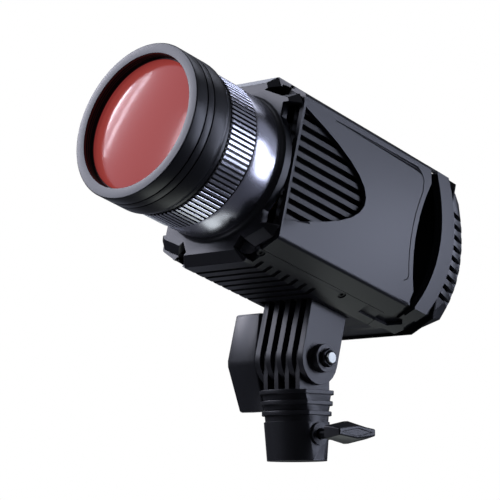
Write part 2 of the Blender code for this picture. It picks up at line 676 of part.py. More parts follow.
def bow(tip, rise, half_height, count=BOW_POINTS):
    """Points (z, y) of a curved edge, from bottom to top, that leaves the tips by its rise."""
    heights = [half_height * (2 * i / (count - 1) - 1) for i in range(count)]
    return [(tip + rise * (1 - (y / half_height) ** 2), y) for y in heights]


def cross_axis(location):
    """A place whose z axis lies along the facet's outward normal, in the optical frame."""
    _, outward = facet_direction()
    x_axis = Vector((0, 0, 1))
    z_axis = Vector((outward.x, outward.y, 0))
    y_axis = z_axis.cross(x_axis)
    turn = Matrix((x_axis, y_axis, z_axis)).transposed().to_4x4()
    return Matrix.Translation(location) @ turn


def facet_solid(name, corners, low, high, side, up):
    """A cutter that stands on a sloping facet: corners (station, share), between two heights."""
    length = (Vector(on_facet(1.0)) - Vector(on_facet(0.0))).length
    item = flat_solid(name, [[(z, -share * length) for z, share in corners]], low, high, OPTICAL_AXIS)
    tidy_mesh(item.data, Matrix.Diagonal((side, up, 1, 1)) @ cross_axis((*on_facet(0.0), 0)))
    return item


def rear_bow(y):
    """How far the rear edges swing forward, away from the middle."""
    return HOOP_REAR_BOW * (y / BODY_SIDE_HALF) ** 2


def side_outline(inset):
    """The octagon with extra points along its flanks."""
    low, corner, top_corner, top = octagon(inset)[:4]
    flank = [Vector(corner).lerp(Vector(top_corner), i / SIDE_STEPS) for i in range(SIDE_STEPS + 1)]
    return mirrored([low] + [tuple(point) for point in flank] + [top])


def make_receiver():
    """Turned boss with three rings and a shoulder, cut flat on both sides, with four fins."""
    profile = [(0, RECEIVER_HEIGHT)]
    for radius, drop in sorted(zip(RING_RADII, RING_DROPS), key=lambda ring: ring[1]):
        bottom = RECEIVER_HEIGHT - drop
        top = min(bottom + RING_HEIGHT, RECEIVER_HEIGHT)
        if len(profile) > 1:
            profile.append((radius - RING_PROUD, top))
        profile += [(radius, top), (radius, bottom), (radius - RING_PROUD, bottom)]
    profile += [(SHOULDER_RADIUS - SHOULDER_STEP, SHOULDER_HEIGHT), (SHOULDER_RADIUS, SHOULDER_HEIGHT),
                (RECEIVER_FOOT_RADIUS, 0), (SOCKET_RADIUS + SOCKET_CHAMFER, 0),
                (SOCKET_RADIUS, SOCKET_CHAMFER), (SOCKET_RADIUS, SOCKET_DEPTH), (0, SOCKET_DEPTH)]
    receiver = turned("stand_receiver", profile, MEDIUM_STEPS, None, BODY_GREY)
    reach = max(RING_RADII) + CUT_OVERRUN
    sides = blocks("receiver_sides", [((-RECEIVER_FLAT_HALF, RECEIVER_FLAT_HALF), (-reach, reach),
                                       (-CUT_OVERRUN, RECEIVER_HEIGHT + CUT_OVERRUN))], None)
    keep_inside(receiver, sides)
    root = RECEIVER_HEIGHT - FIN_ROOT
    outline = [(-FIN_RADIUS, root), (FIN_RADIUS, root)]
    outline += arc((0, PIVOT_HEIGHT), FIN_RADIUS, 0, 180, FIN_STEPS)
    fins = YOKE_PLATES - 1
    for number in range(fins):
        middle = (number - (fins - 1) / 2) * PLATE_PITCH
        fin = flat_solid("fin_%d" % (number + 1), [outline], middle - FIN_THICKNESS / 2,
                         middle + FIN_THICKNESS / 2, None, axes=UPRIGHT)
        join(receiver, fin)
    pad = rods("screw_boss", [Matrix.Identity(4)], SCREW_PAD_RADIUS, SOCKET_RADIUS + SOCKET_CHAMFER,
               RECEIVER_FLAT_HALF + SCREW_PAD_HEIGHT, SCREW_AXIS, steps=MEDIUM_STEPS)
    join(receiver, pad)
    bore = rods("screw_bore", [Matrix.Identity(4)], SCREW_RADIUS + SEAT_GAP, 0,
                RECEIVER_FLAT_HALF + SCREW_PAD_HEIGHT + CUT_OVERRUN, SCREW_AXIS, steps=SMALL_STEPS)
    reach = 2 * PLATE_PITCH
    pivot = rods("fin_bore", [Matrix.Identity(4)], BOLT_RADIUS + SEAT_GAP, -reach, reach, BOLT_AXIS,
                 steps=SMALL_STEPS)
    cut(receiver, bore, pivot)
    smooth(receiver)


def make_yoke():
    """Five plates that straddle the fins, on a base that passes into the housing's floor."""
    pivot = (0, -AXIS_HEIGHT)
    floor = YOKE_TOP + CORE_WALL + COVER_SEAT
    outline = [(YOKE_RADIUS, YOKE_TOP + YOKE_PLATE_ROOT), (-YOKE_RADIUS, YOKE_TOP + YOKE_PLATE_ROOT)]
    outline += arc(pivot, YOKE_RADIUS, 180, 360, YOKE_STEPS)
    low = floor + SEAT_GAP
    height = (YOKE_TOP + YOKE_POCKET_DEPTH, low + YOKE_FLANGE_HEIGHT / 2)
    yoke = blocks("tilt_yoke", [((-YOKE_SIDE, YOKE_SIDE), height, (-YOKE_RADIUS, YOKE_RADIUS))],
                  OPTICAL_AXIS, BODY_GREY)
    reach = YOKE_RADIUS + YOKE_FLANGE_REACH
    height = (low, low + YOKE_FLANGE_HEIGHT)
    flange = blocks("yoke_flange", [((-YOKE_SIDE, YOKE_SIDE), height, (-reach, reach))], OPTICAL_AXIS)
    join(yoke, flange)
    for number in range(YOKE_PLATES):
        middle = (number - (YOKE_PLATES - 1) / 2) * PLATE_PITCH
        plate = flat_solid("yoke_plate_%d" % (number + 1), [outline], middle - YOKE_PLATE_THICKNESS / 2,
                           middle + YOKE_PLATE_THICKNESS / 2, OPTICAL_AXIS, axes=SIDE_ON)
        join(yoke, plate)
    across = Matrix.Translation((0, -AXIS_HEIGHT, 0)) @ Matrix.Rotation(pi / 2, 4, "Y")
    inner = YOKE_SIDE - YOKE_PLATE_THICKNESS / 2
    boss = rods("yoke_boss", [across], YOKE_BOSS_RADIUS, inner, YOKE_SIDE + YOKE_BOSS_HEIGHT,
                OPTICAL_AXIS, steps=MEDIUM_STEPS)
    neck = rods("yoke_neck", [across], NECK_RADIUS, -YOKE_SIDE - NECK_HEIGHT, -inner,
                OPTICAL_AXIS, steps=SMALL_STEPS)
    join(yoke, boss, neck)
    reach = YOKE_SIDE + YOKE_BOSS_HEIGHT + CUT_OVERRUN
    bore = rods("yoke_bore", [across], BOLT_RADIUS + SEAT_GAP, -reach, reach, OPTICAL_AXIS, steps=SMALL_STEPS)
    cut(yoke, bore)


def make_pivot():
    """Bolt, nut and tilt lock knob. The bolt is fixed in the knob and turns with it."""
    boss_end = YOKE_SIDE + YOKE_BOSS_HEIGHT
    nut_end = boss_end + SEAT_GAP + NUT_HEIGHT
    tip = nut_end + BOLT_STICK_OUT
    knob_inner = -YOKE_SIDE - NECK_HEIGHT - SEAT_GAP
    bolt_start = knob_inner - KNOB_SOCKET_DEPTH + SEAT_GAP
    profile = [(0, tip), (BOLT_TIP_RADIUS - BOLT_TIP_CHAMFER, tip),
               (BOLT_TIP_RADIUS, tip - BOLT_TIP_CHAMFER), (BOLT_TIP_RADIUS, boss_end),
               (BOLT_RADIUS, boss_end), (BOLT_RADIUS, bolt_start), (0, bolt_start)]
    bolt = turned("pivot_bolt", profile, SMALL_STEPS, BOLT_AXIS, BRIGHT_STEEL)
    smooth(bolt)
    bore = circle(BOLT_TIP_RADIUS + SEAT_GAP, SMALL_STEPS)
    nut = flat_solid("pivot_nut", [circle(NUT_RADIUS, HEX_STEPS), bore], boss_end + SEAT_GAP, nut_end,
                     BOLT_AXIS, SATIN_BLACK)
    soften(nut, BOLT_TIP_CHAMFER, 1, 50.0)
    half = KNOB_HALF_HEIGHT

    def side(y_half, outer):
        """Half-height rows of the knob: its inner wall is flat and its outer wall bulges."""
        return [(-y_half, knob_inner), (-y_half, outer), (y_half, outer), (y_half, knob_inner)]

    end_outer = knob_inner - KNOB_END_WIDTH
    middle_outer = knob_inner - KNOB_MIDDLE_WIDTH
    sections = [(side(KNOB_END_DEPTH, end_outer), -half),
                (side(KNOB_MIDDLE_DEPTH, middle_outer), -KNOB_CREASE_HALF),
                (side(KNOB_MIDDLE_DEPTH, middle_outer), KNOB_CREASE_HALF),
                (side(KNOB_END_DEPTH, end_outer), half)]
    knob = lofted("tilt_lock_knob", sections, BOLT_AXIS, BODY_GREY)
    # The rows were drawn as (y, x) at height z: turn them into the bolt's frame (x down, z along)
    knob.data.transform(Matrix(((0, 0, -1, 0), (1, 0, 0, 0), (0, 1, 0, 0), (0, 0, 0, 1))))
    tidy_mesh(knob.data)
    soften(knob, KNOB_EDGE, 2, 40.0)
    knob.rotation_euler.z = radians(KNOB_REST_TURN)
    socket = rods("knob_socket", [Matrix.Identity(4)], BOLT_RADIUS + SEAT_GAP, knob_inner - KNOB_SOCKET_DEPTH,
                  knob_inner + CUT_OVERRUN, BOLT_AXIS, steps=SMALL_STEPS)
    cut(knob, socket)


def hexagon_bar(half_span, half_height):
    """Six-sided outline, tall in the middle, lying along y: in the screw's frame x is down."""
    end = half_height * GRIP_END_SHARE
    return [(end, -half_span), (half_height, 0), (end, half_span), (-end, half_span),
            (-half_height, 0), (-end, -half_span)]


def make_thumb_screw():
    flat = RECEIVER_FLAT_HALF
    grip_start = flat + GRIP_INNER_OFFSET
    grip_end = grip_start + GRIP_LENGTH
    tip = SOCKET_RADIUS + PRESSURE_PAD_LENGTH + SEAT_GAP
    collar_start = flat + SCREW_PAD_HEIGHT + SEAT_GAP + GRIP_INNER_OFFSET - SCREW_COLLAR_LENGTH
    profile = [(0, grip_start + GRIP_LENGTH / 2), (SCREW_RADIUS, grip_start + GRIP_LENGTH / 2),
               (SCREW_RADIUS, grip_start - SEAT_GAP), (SCREW_COLLAR_RADIUS, grip_start - SEAT_GAP),
               (SCREW_COLLAR_RADIUS, collar_start), (SCREW_RADIUS, collar_start),
               (SCREW_RADIUS, tip), (0, tip)]
    screw = turned("thumb_screw", profile, SMALL_STEPS, SCREW_AXIS, SATIN_BLACK)
    smooth(screw)
    turned("pressure_pad", [(0, tip - SEAT_GAP), (PRESSURE_PAD_RADIUS, tip - SEAT_GAP),
                            (PRESSURE_PAD_RADIUS, SOCKET_RADIUS), (0, SOCKET_RADIUS)],
           SMALL_STEPS, SCREW_AXIS, BRASS)
    inner = hexagon_bar(GRIP_INNER_HALF_SPAN, GRIP_INNER_HALF_HEIGHT)
    outer = hexagon_bar(GRIP_OUTER_HALF_SPAN, GRIP_OUTER_HALF_HEIGHT)
    third = grip_start + GRIP_LENGTH / 3
    grip = lofted("thumb_screw_grip", [(inner, grip_start), (inner, third), (outer, grip_end)],
                  SCREW_AXIS, BODY_GREY)
    soften(grip, GRIP_INSET_DEPTH, 1, 25.0)
    bore = rods("grip_bore", [Matrix.Identity(4)], SCREW_RADIUS + SEAT_GAP, grip_start - CUT_OVERRUN,
                grip_start + GRIP_LENGTH / 2 + SEAT_GAP, SCREW_AXIS, steps=SMALL_STEPS)
    span = GRIP_OUTER_HALF_SPAN - 2 * GRIP_INSET
    rhombus = [(GRIP_OUTER_HALF_HEIGHT - GRIP_INSET, 0), (0, span),
               (GRIP_INSET - GRIP_OUTER_HALF_HEIGHT, 0), (0, -span)]
    inset = flat_solid("grip_inset", [rhombus], grip_end - GRIP_INSET_DEPTH, grip_end + CUT_OVERRUN,
                       SCREW_AXIS)
    cut(grip, bore, inset)


def core_outline():
    """Octagon with seats for the side covers let into its flanks."""
    _, outward = facet_direction()
    edge = Vector(on_facet(COVER_EDGE_SHARE))
    seat = edge - outward * COVER_SEAT
    corner = octagon(COVER_SEAT)[1]
    half = [(BODY_TOP_HALF, -BODY_HALF_HEIGHT), tuple(edge), tuple(seat), corner]
    return mirrored(half + [(x, -y) for x, y in reversed(half)])


def window_outline(grow, front):
    """D-shaped vent window (z, y): a parabola that opens forward."""
    depth = WINDOW_FRONT - WINDOW_VERTEX
    points = []
    for i in range(WINDOW_POINTS):
        share = 2 * i / (WINDOW_POINTS - 1) - 1
        half = WINDOW_HALF_HEIGHT + grow
        points.append((WINDOW_VERTEX - grow + depth * share ** 2, WINDOW_CENTRE + half * share))
    return [(front, points[0][1])] + points + [(front, points[-1][1])]


def make_housing():
    """Octagonal core with cross slots on top and underneath, side windows and screw holes."""
    core = flat_solid("main_housing", [core_outline(), octagon(CORE_INSET)], HOUSING_REAR, HOUSING_FRONT,
                      OPTICAL_AXIS, BODY_GREY)
    reach = BODY_HALF_WIDTH
    edge = BODY_HALF_HEIGHT - SLOT_DEPTH
    wall = BODY_HALF_HEIGHT + CUT_OVERRUN
    slots = []
    for number in range(UPPER_SLOTS):
        middle = FIRST_SLOT - number * SLOT_PITCH
        span = (middle - SLOT_WIDTH / 2, middle + SLOT_WIDTH / 2)
        slots.append(((-reach, reach), (edge, wall), span))
        if number < LOWER_SLOTS:
            slots.append(((-reach, reach), (-wall, -edge), span))
    cross_slots = blocks("cross_slots", slots, OPTICAL_AXIS)
    window = flat_solid("core_window", [window_outline(GRILLE_RIM + SEAT_GAP, HOUSING_FRONT + CUT_OVERRUN)],
                        -wall, wall, OPTICAL_AXIS, axes=SIDE_ON)
    side = YOKE_SIDE + SEAT_GAP
    half = YOKE_RADIUS + SEAT_GAP
    height = (-wall, YOKE_TOP + CORE_INSET + CUT_OVERRUN)
    yoke_hole = blocks("yoke_hole", [((-side, side), height, (-half, half))], OPTICAL_AXIS)
    side = YOKE_SIDE + YOKE_POCKET_SIDE
    height = (-wall, YOKE_TOP + YOKE_POCKET_DEPTH)
    span = (-YOKE_RADIUS - YOKE_POCKET_SIDE, YOKE_RADIUS + YOKE_POCKET_FRONT)
    pocket = blocks("yoke_pocket", [((-side, side), height, span)], OPTICAL_AXIS)
    places = screw_places()
    holes = rods("screw_holes", places, SCREW_HOLE_RADIUS, -SCREW_HOLE_DEPTH, CUT_OVERRUN, OPTICAL_AXIS,
                 steps=HOLE_STEPS)
    low = Vector(on_facet(0.0, REAR_INSET_DEPTH))
    along, outward = facet_direction()
    start = low + along * REAR_INSET_RAIL
    stop = Vector(on_facet(COVER_EDGE_SHARE, REAR_INSET_DEPTH)) - along * SEAT_GAP
    lift = outward * CUT_OVERRUN
    band = [tuple(start), tuple(start + lift), tuple(stop + lift), tuple(stop)]
    inset_front = HOUSING_REAR + REAR_INSET_LENGTH
    insets = []
    for name, sign in (("right", 1), ("left", -1)):
        outline = [(sign * x, y) for x, y in band]
        insets.append(flat_solid("rear_inset_" + name, [outline], HOUSING_REAR - CUT_OVERRUN, inset_front,
                                 OPTICAL_AXIS))
    notches = []
    for name, shape, up in (("lower", LOWER_NOTCH, -1), ("upper", UPPER_NOTCH, 1)):
        for side_name, sign in (("right", 1), ("left", -1)):
            outline = [(sign * x, up * (BODY_HALF_HEIGHT - depth)) for x, depth in shape]
            notches.append(flat_solid("notch_%s_%s" % (name, side_name), [outline], BEZEL_FACE - NOTCH_DEPTH,
                                      BEZEL_FACE + CUT_OVERRUN, OPTICAL_AXIS))
    cut(core, cross_slots, window, yoke_hole, pocket, holes, *insets, *notches)
    return notches


def screw_places():
    """The four screws of the lower facets, each with z along the facet's outward normal."""
    x, y = on_facet(SCREW_HOLE_SHARE)
    right = [cross_axis((x, y, station)) for station in SCREW_HOLE_STATIONS]
    flip = Matrix.Diagonal((-1, 1, 1, 1))
    return right + [flip @ place @ Matrix.Diagonal((1, -1, 1, 1)) for place in right]


def make_housing_screws():
    low = -SCREW_HOLE_DEPTH + SEAT_GAP
    high = low + SCREW_HEAD_HEIGHT
    places = screw_places()
    recesses = rods("screw_recesses", places, HEX_RECESS_RADIUS, high - HEX_RECESS_DEPTH, CUT_OVERRUN,
                    OPTICAL_AXIS, steps=HEX_STEPS)
    for number, place in enumerate(places):
        screw = rods("housing_screw_%d" % (number + 1), [place], SCREW_HOLE_RADIUS - SEAT_GAP, low, high,
                     OPTICAL_AXIS, SATIN_BLACK, steps=HOLE_STEPS)
        cut(screw, recesses)


def make_side_panel(name, sign):
    """Cover that wraps onto both sloping facets, with a window, a seam and a bowed rear edge."""
    _, outward = facet_direction()
    edge = Vector(on_facet(COVER_EDGE_SHARE)) + facet_direction()[0] * SEAT_GAP
    inner_edge = edge - outward * COVER_THICKNESS
    outer_corner = (BODY_HALF_WIDTH, -BODY_SIDE_HALF)
    inner_corner = octagon(COVER_THICKNESS)[1]
    outer = [tuple(edge), outer_corner, (outer_corner[0], -outer_corner[1]), (edge.x, -edge.y)]
    inner = [(inner_edge.x, -inner_edge.y), (inner_corner[0], -inner_corner[1]), inner_corner,
             tuple(inner_edge)]
    section = [(sign * x, y) for x, y in outer + inner]
    panel = flat_solid(name, [section], GRIP_TIP + SEAT_GAP, COVER_FRONT, OPTICAL_AXIS, PANEL_GREY)
    outside = BODY_HALF_WIDTH + CUT_OVERRUN
    low, high = sorted((sign * BODY_TOP_HALF, sign * outside))
    window = flat_solid(name + "_window", [window_outline(0.0, WINDOW_FRONT)], low, high, OPTICAL_AXIS,
                        axes=SIDE_ON)
    rear = [(z, y) for z, y in bow(GRIP_TIP + SEAT_GAP, GRIP_FRONT_BOW, GRIP_HALF_HEIGHT)
            if abs(y) < COVER_TIP_HALF]
    behind = GRIP_TIP - CUT_OVERRUN
    top = BODY_HALF_HEIGHT + CUT_OVERRUN
    above = [(COVER_TIP_END, BODY_SIDE_HALF), (COVER_TIP_END, top), (behind, top)]
    below = [(z, -y) for z, y in reversed(above)]
    bowed = flat_solid(name + "_rear_edge", [below + rear + above], low, high, OPTICAL_AXIS, axes=SIDE_ON)
    cut(panel, window, bowed, seam_cutter(name + "_seam", sign))
    return panel


def seam_cutter(name, sign):
    """Thin round cutter along the panel's seam: along the top, round the corner, down the bow."""
    top = BODY_SIDE_HALF - SEAM_FROM_EDGE
    rear = [(z + SEAM_FROM_REAR, y) for z, y in bow(GRIP_TIP, GRIP_FRONT_BOW, GRIP_HALF_HEIGHT)
            if -SEAM_LOW < y < top - SEAM_CORNER]
    corner_z, corner_y = rear[-1]
    middle = (corner_z + SEAM_CORNER, top - SEAM_CORNER)
    path = [(SEAM_START, top)]
    path += [(middle[0] - SEAM_CORNER * sin(radians(a)), middle[1] + SEAM_CORNER * cos(radians(a)))
             for a in (0, 22.5, 45, 67.5)]
    path += list(reversed(rear))
    last_z, last_y = rear[0]
    path += [(last_z + SEAM_HOOK / 3, last_y - SEAM_HOOK * 2 / 3), (last_z + SEAM_HOOK, last_y - SEAM_HOOK)]
    curve = bpy.data.curves.new(name, "CURVE")
    curve.dimensions = "3D"
    curve.bevel_depth = SEAM_RADIUS
    curve.bevel_resolution = 1
    curve.use_fill_caps = True
    spline = curve.splines.new("POLY")
    spline.points.add(len(path) - 1)
    for point, (z, y) in zip(spline.points, path):
        point.co = (sign * BODY_HALF_WIDTH, y, z, 1)
    guide = bpy.data.objects.new(name + "_path", curve)
    CUTTERS.objects.link(guide)
    bpy.context.view_layer.update()
    mesh = bpy.data.meshes.new_from_object(guide.evaluated_get(bpy.context.evaluated_depsgraph_get()))
    bpy.data.objects.remove(guide, do_unlink=True)
    tidy_mesh(mesh)
    return finish(name, mesh, OPTICAL_AXIS)


def make_grille(name, sign):
    """D-shaped plate behind the window, cut by long slots that leave ribs along the axis."""
    depth = WINDOW_FRONT - WINDOW_VERTEX
    outlines = [window_outline(GRILLE_RIM, WINDOW_FRONT + GRILLE_RIM)]
    half_count = int((WINDOW_CENTRE + WINDOW_HALF_HEIGHT) / RIB_PITCH)
    for number in range(-half_count, half_count + 1):
        middle = number * RIB_PITCH
        tallest = abs(middle - WINDOW_CENTRE) + RIB_GAP / 2 + GRILLE_MARGIN
        if tallest >= WINDOW_HALF_HEIGHT:
            continue
        start = WINDOW_VERTEX + GRILLE_MARGIN + depth * (tallest / WINDOW_HALF_HEIGHT) ** 2
        stop = WINDOW_FRONT - GRILLE_MARGIN
        if stop - start < GRILLE_MIN_SLOT:
            continue
        low = middle - RIB_GAP / 2
        high = low + RIB_GAP
        outlines.append([(start, low), (stop, low), (stop, high), (start, high)])
    outer = BODY_HALF_WIDTH - COVER_SEAT
    low, high = sorted((sign * outer, sign * (outer - CORE_WALL)))
    return flat_solid(name, outlines, low, high, OPTICAL_AXIS, SATIN_BLACK, axes=SIDE_ON)


def cap_rows(wall, front):
    """Rows of the rear shell's skin, or of its hollow one wall inside: straight, then rounded."""
    inset = COVER_SEAT + wall
    rows = [[(x, y, front) for x, y in side_outline(inset)]]
    last = asin((CAP_DEPTH - wall) / (CAP_ALONG - wall))
    for step in range(ROUNDING_STEPS + 1):
        turn = last * step / ROUNDING_STEPS
        z = SHELL_STRAIGHT_END - (CAP_ALONG - wall) * sin(turn)
        outline = side_outline(inset + (CAP_ACROSS - wall) * (1 - cos(turn)))
        rows.append([(x, y, z + rear_bow(y)) for x, y in outline])
    return rows


def make_rear():
    """Rear shell with grip gaps, edge slots and a bowed rear face, and the dark core inside."""
    shell = skinned("rear_shell", cap_rows(0, SHELL_FRONT), OPTICAL_AXIS, BODY_GREY)
    hollow = skinned("rear_hollow", cap_rows(SHELL_WALL, SHELL_FRONT + CUT_OVERRUN), OPTICAL_AXIS)
    across = PANEL_HALF_WIDTH + SEAT_GAP
    high = PANEL_HALF_HEIGHT + SEAT_GAP
    surround = rectangle(across + SHELL_WALL, high + SHELL_WALL, PANEL_CORNER + SHELL_WALL)
    kept = flat_solid("panel_surround", [surround], REAR_FACE - CUT_OVERRUN, PANEL_SEAT + SHELL_WALL,
                      OPTICAL_AXIS)
    cut(hollow, kept)
    reach = BODY_HALF_WIDTH + CUT_OVERRUN
    front = bow(GRIP_TIP + GRIP_TIP_GAP, GRIP_FRONT_BOW, GRIP_HALF_HEIGHT)
    back = bow(GRIP_TIP - GRIP_TIP_GAP, -GRIP_REAR_BOW, GRIP_HALF_HEIGHT)
    lens = flat_solid("grip_gap", [front + list(reversed(back))], -reach, reach, OPTICAL_AXIS, axes=SIDE_ON)
    slots = []
    inner = BODY_HALF_WIDTH - CAP_SLOT_REACH
    for number in range(CAP_SLOTS):
        middle = (number - (CAP_SLOTS - 1) / 2) * CAP_SLOT_PITCH
        height = (middle - CAP_SLOT_WIDTH / 2, middle + CAP_SLOT_WIDTH / 2)
        span = (REAR_FACE - CUT_OVERRUN, CAP_SLOT_FRONT + rear_bow(middle))
        slots += [((inner, reach), height, span), ((-reach, -inner), height, span)]
    edge_slots = blocks("edge_slots", slots, OPTICAL_AXIS)
    seat = flat_solid("panel_seat", [rectangle(across, high, PANEL_CORNER)], REAR_FACE - CUT_OVERRUN,
                      PANEL_SEAT, OPTICAL_AXIS)
    through = (REAR_FACE, PANEL_SEAT + SHELL_WALL + CUT_OVERRUN)
    rocker_width = ROCKER_HALF_WIDTH + INLET_RIM
    rocker_height = ROCKER_HALF_HEIGHT + INLET_RIM
    openings = blocks("panel_openings", [
        ((INLET_CENTRE[0] - INLET_HALF_WIDTH, INLET_CENTRE[0] + INLET_HALF_WIDTH),
         (INLET_CENTRE[1] - INLET_HALF_HEIGHT, INLET_CENTRE[1] + INLET_HALF_HEIGHT), through),
        ((ROCKER_CENTRE[0] - rocker_width, ROCKER_CENTRE[0] + rocker_width),
         (ROCKER_CENTRE[1] - rocker_height, ROCKER_CENTRE[1] + rocker_height), through)], OPTICAL_AXIS)
    cut(shell, hollow, lens, edge_slots, seat, openings)


def make_hoop():
    """Hoop behind the grip gaps: a full band on each flank, a lug and a rail on each lower facet,
    and lowered parts that carry it across above and below."""
    front = bow(GRIP_TIP - GRIP_TIP_GAP, -GRIP_REAR_BOW, GRIP_HALF_HEIGHT)
    back = bow(GRIP_TIP - HOOP_BAND, -HOOP_REAR_BOW, BODY_SIDE_HALF)
    low = on_facet(LOWER_BAND_SHARE - HOOP_OVERLAP_SHARE)[1]
    high = -on_facet(UPPER_BAND_SHARE - HOOP_OVERLAP_SHARE)[1]
    band = [(front[0][0], low)] + front + [(front[-1][0], high), (back[-1][0], high)]
    band += list(reversed(back)) + [(back[0][0], low)]
    hoop = flat_solid("hoop_handle", [octagon(), octagon(HOOP_WALL)],
                      GRIP_TIP - HOOP_BAND - HOOP_REAR_BOW - CUT_OVERRUN, SHELL_FRONT,
                      OPTICAL_AXIS, BODY_GREY)
    reach = BODY_HALF_WIDTH + CUT_OVERRUN
    wall = BODY_HALF_HEIGHT + CUT_OVERRUN
    kept = flat_solid("hoop_band", [band], -reach, reach, OPTICAL_AXIS, axes=SIDE_ON)
    ahead = SHELL_FRONT + CUT_OVERRUN
    inner = BODY_HALF_HEIGHT - CORE_INSET
    across = BODY_TOP_HALF + SEAT_GAP
    crossings = [((-across, across), span, (HOOP_CROSSING_END, ahead))
                 for span in ((-wall, -inner), (inner, wall))]
    join(kept, blocks("hoop_crossings", crossings, OPTICAL_AXIS))

    first = GRIP_TIP - GRIP_TIP_GAP - SEAT_GAP
    last = GRIP_TIP - HOOP_BAND + SEAT_GAP
    lug = list(zip(LUG_STATIONS, LUG_SHARES))
    foot = [(HOOP_CROSSING_END - SEAT_GAP, -HOOP_OVERLAP_SHARE), (ahead + SEAT_GAP, -HOOP_OVERLAP_SHARE),
            (ahead + SEAT_GAP, RAIL_SHARE)]
    foot += lug[1:3]
    foot += [(first, LOWER_BAND_SHARE), (first, 1 - HOOP_OVERLAP_SHARE), (last, 1 - HOOP_OVERLAP_SHARE),
             (last, LOWER_BAND_SHARE)]
    foot += lug[3:] + [(HOOP_CROSSING_END - SEAT_GAP, lug[0][1])]
    upper_end, lower_end = Vector(lug[2]), Vector(lug[3])
    before = upper_end.lerp(lower_end, -LUG_CUT_SHARE)
    beyond = upper_end.lerp(lower_end, 1 + LUG_CUT_SHARE)
    edge = last - CUT_OVERRUN
    sunk_below = [tuple(before), (GRIP_TIP, before.y), (GRIP_TIP, LOWER_BAND_SHARE),
                  (edge, LOWER_BAND_SHARE), (edge, beyond.y), tuple(beyond)]
    outside = -2 * HOOP_OVERLAP_SHARE
    sunk_above = [(ahead, outside), (ahead, UPPER_BAND_SHARE), (edge, UPPER_BAND_SHARE), (edge, outside)]
    sunk = []
    for side_name, side in (("right", 1), ("left", -1)):
        for name, up, shape in (("lower", 1, sunk_below), ("upper", -1, sunk_above)):
            label = "%s_%s" % (name, side_name)
            join(kept, facet_solid("hoop_foot_" + label, foot, -CORE_INSET, CUT_OVERRUN, side, up))
            sunk.append(facet_solid("hoop_sunk_" + label, shape, -HOOP_SUNK, CUT_OVERRUN, side, up))
    keep_inside(hoop, kept)
    edge = BODY_HALF_HEIGHT - HOOP_SUNK
    across = BODY_TOP_HALF - SEAT_GAP
    lowered = [((-across, across), span, (HOOP_CROSSING_END - CUT_OVERRUN, ahead))
               for span in ((-wall, -edge), (edge, wall))]
    cut(hoop, blocks("hoop_lowered", lowered, OPTICAL_AXIS), *sunk)


def make_core():
    """Bulkhead behind the electronics, and the dark block seen through the grip gaps."""
    bulkhead_rear = HOUSING_REAR + SEAT_GAP
    flat_solid("rear_bulkhead", [octagon(CORE_INSET + SEAT_GAP)], bulkhead_rear,
               bulkhead_rear + BULKHEAD_THICKNESS, OPTICAL_AXIS, DEEP_BLACK)
    top = BODY_HALF_HEIGHT - CORE_BLOCK_INSET
    flat_solid("grip_core", [rectangle(CORE_BLOCK_HALF_WIDTH, top, CORE_BLOCK_EDGE)], CORE_BLOCK_REAR,
               bulkhead_rear - SEAT_GAP, OPTICAL_AXIS, DEEP_BLACK)


def make_bezel(notches):
    """Octagonal front plate with lobes and chamfers, side slots, notches and a filleted collar."""
    right = [(LOBE_HALF, -BODY_HALF_HEIGHT), (LOBE_ROOT_HALF, LOBE_HEIGHT - BODY_HALF_HEIGHT),
             (BODY_HALF_WIDTH - SHOULDER_INSET, -BODY_SIDE_HALF), (BODY_HALF_WIDTH, -SIDE_EDGE)]
    outline = mirrored(right + [(x, -y) for x, y in reversed(right)])
    face = offset_outline(outline, -BEZEL_CHAMFER)
    bezel = lofted("front_bezel", [(outline, BEZEL_BACK), (face, BEZEL_FACE)], OPTICAL_AXIS, BODY_GREY)
    reach = BODY_HALF_WIDTH + CUT_OVERRUN
    span = (BEZEL_BACK - CUT_OVERRUN, BEZEL_FACE + CUT_OVERRUN)
    bites = blocks("bezel_bites", [((BITE_INNER, reach), (-BITE_HALF, BITE_HALF), span),
                                   ((-reach, -BITE_INNER), (-BITE_HALF, BITE_HALF), span)], OPTICAL_AXIS)
    height = COLLAR_END - BEZEL_FACE
    flare = COLLAR_BASE_RADIUS - COLLAR_RADIUS
    profile = [(0, COLLAR_END)]
    for step in range(FLARE_STEPS + 1):
        turn = pi / 2 * step / FLARE_STEPS
        profile.append((COLLAR_RADIUS + flare * (1 - cos(turn)), COLLAR_END - height * sin(turn)))
    profile += [(COLLAR_BASE_RADIUS, BEZEL_BACK), (0, BEZEL_BACK)]
    collar = turned("bezel_collar", profile, LARGE_STEPS, OPTICAL_AXIS)
    hole = rods("bezel_hole", [Matrix.Identity(4)], TUBE_SEAT_RADIUS, BEZEL_BACK - CUT_OVERRUN,
                COLLAR_END + CUT_OVERRUN, OPTICAL_AXIS, steps=LARGE_STEPS)
    cut(bezel, bites, *notches)
    join(bezel, collar)
    cut(bezel, hole)


def ring_profile(inner, outer, low, high):
    return [(inner, high), (outer, high), (outer, low), (inner, low)]


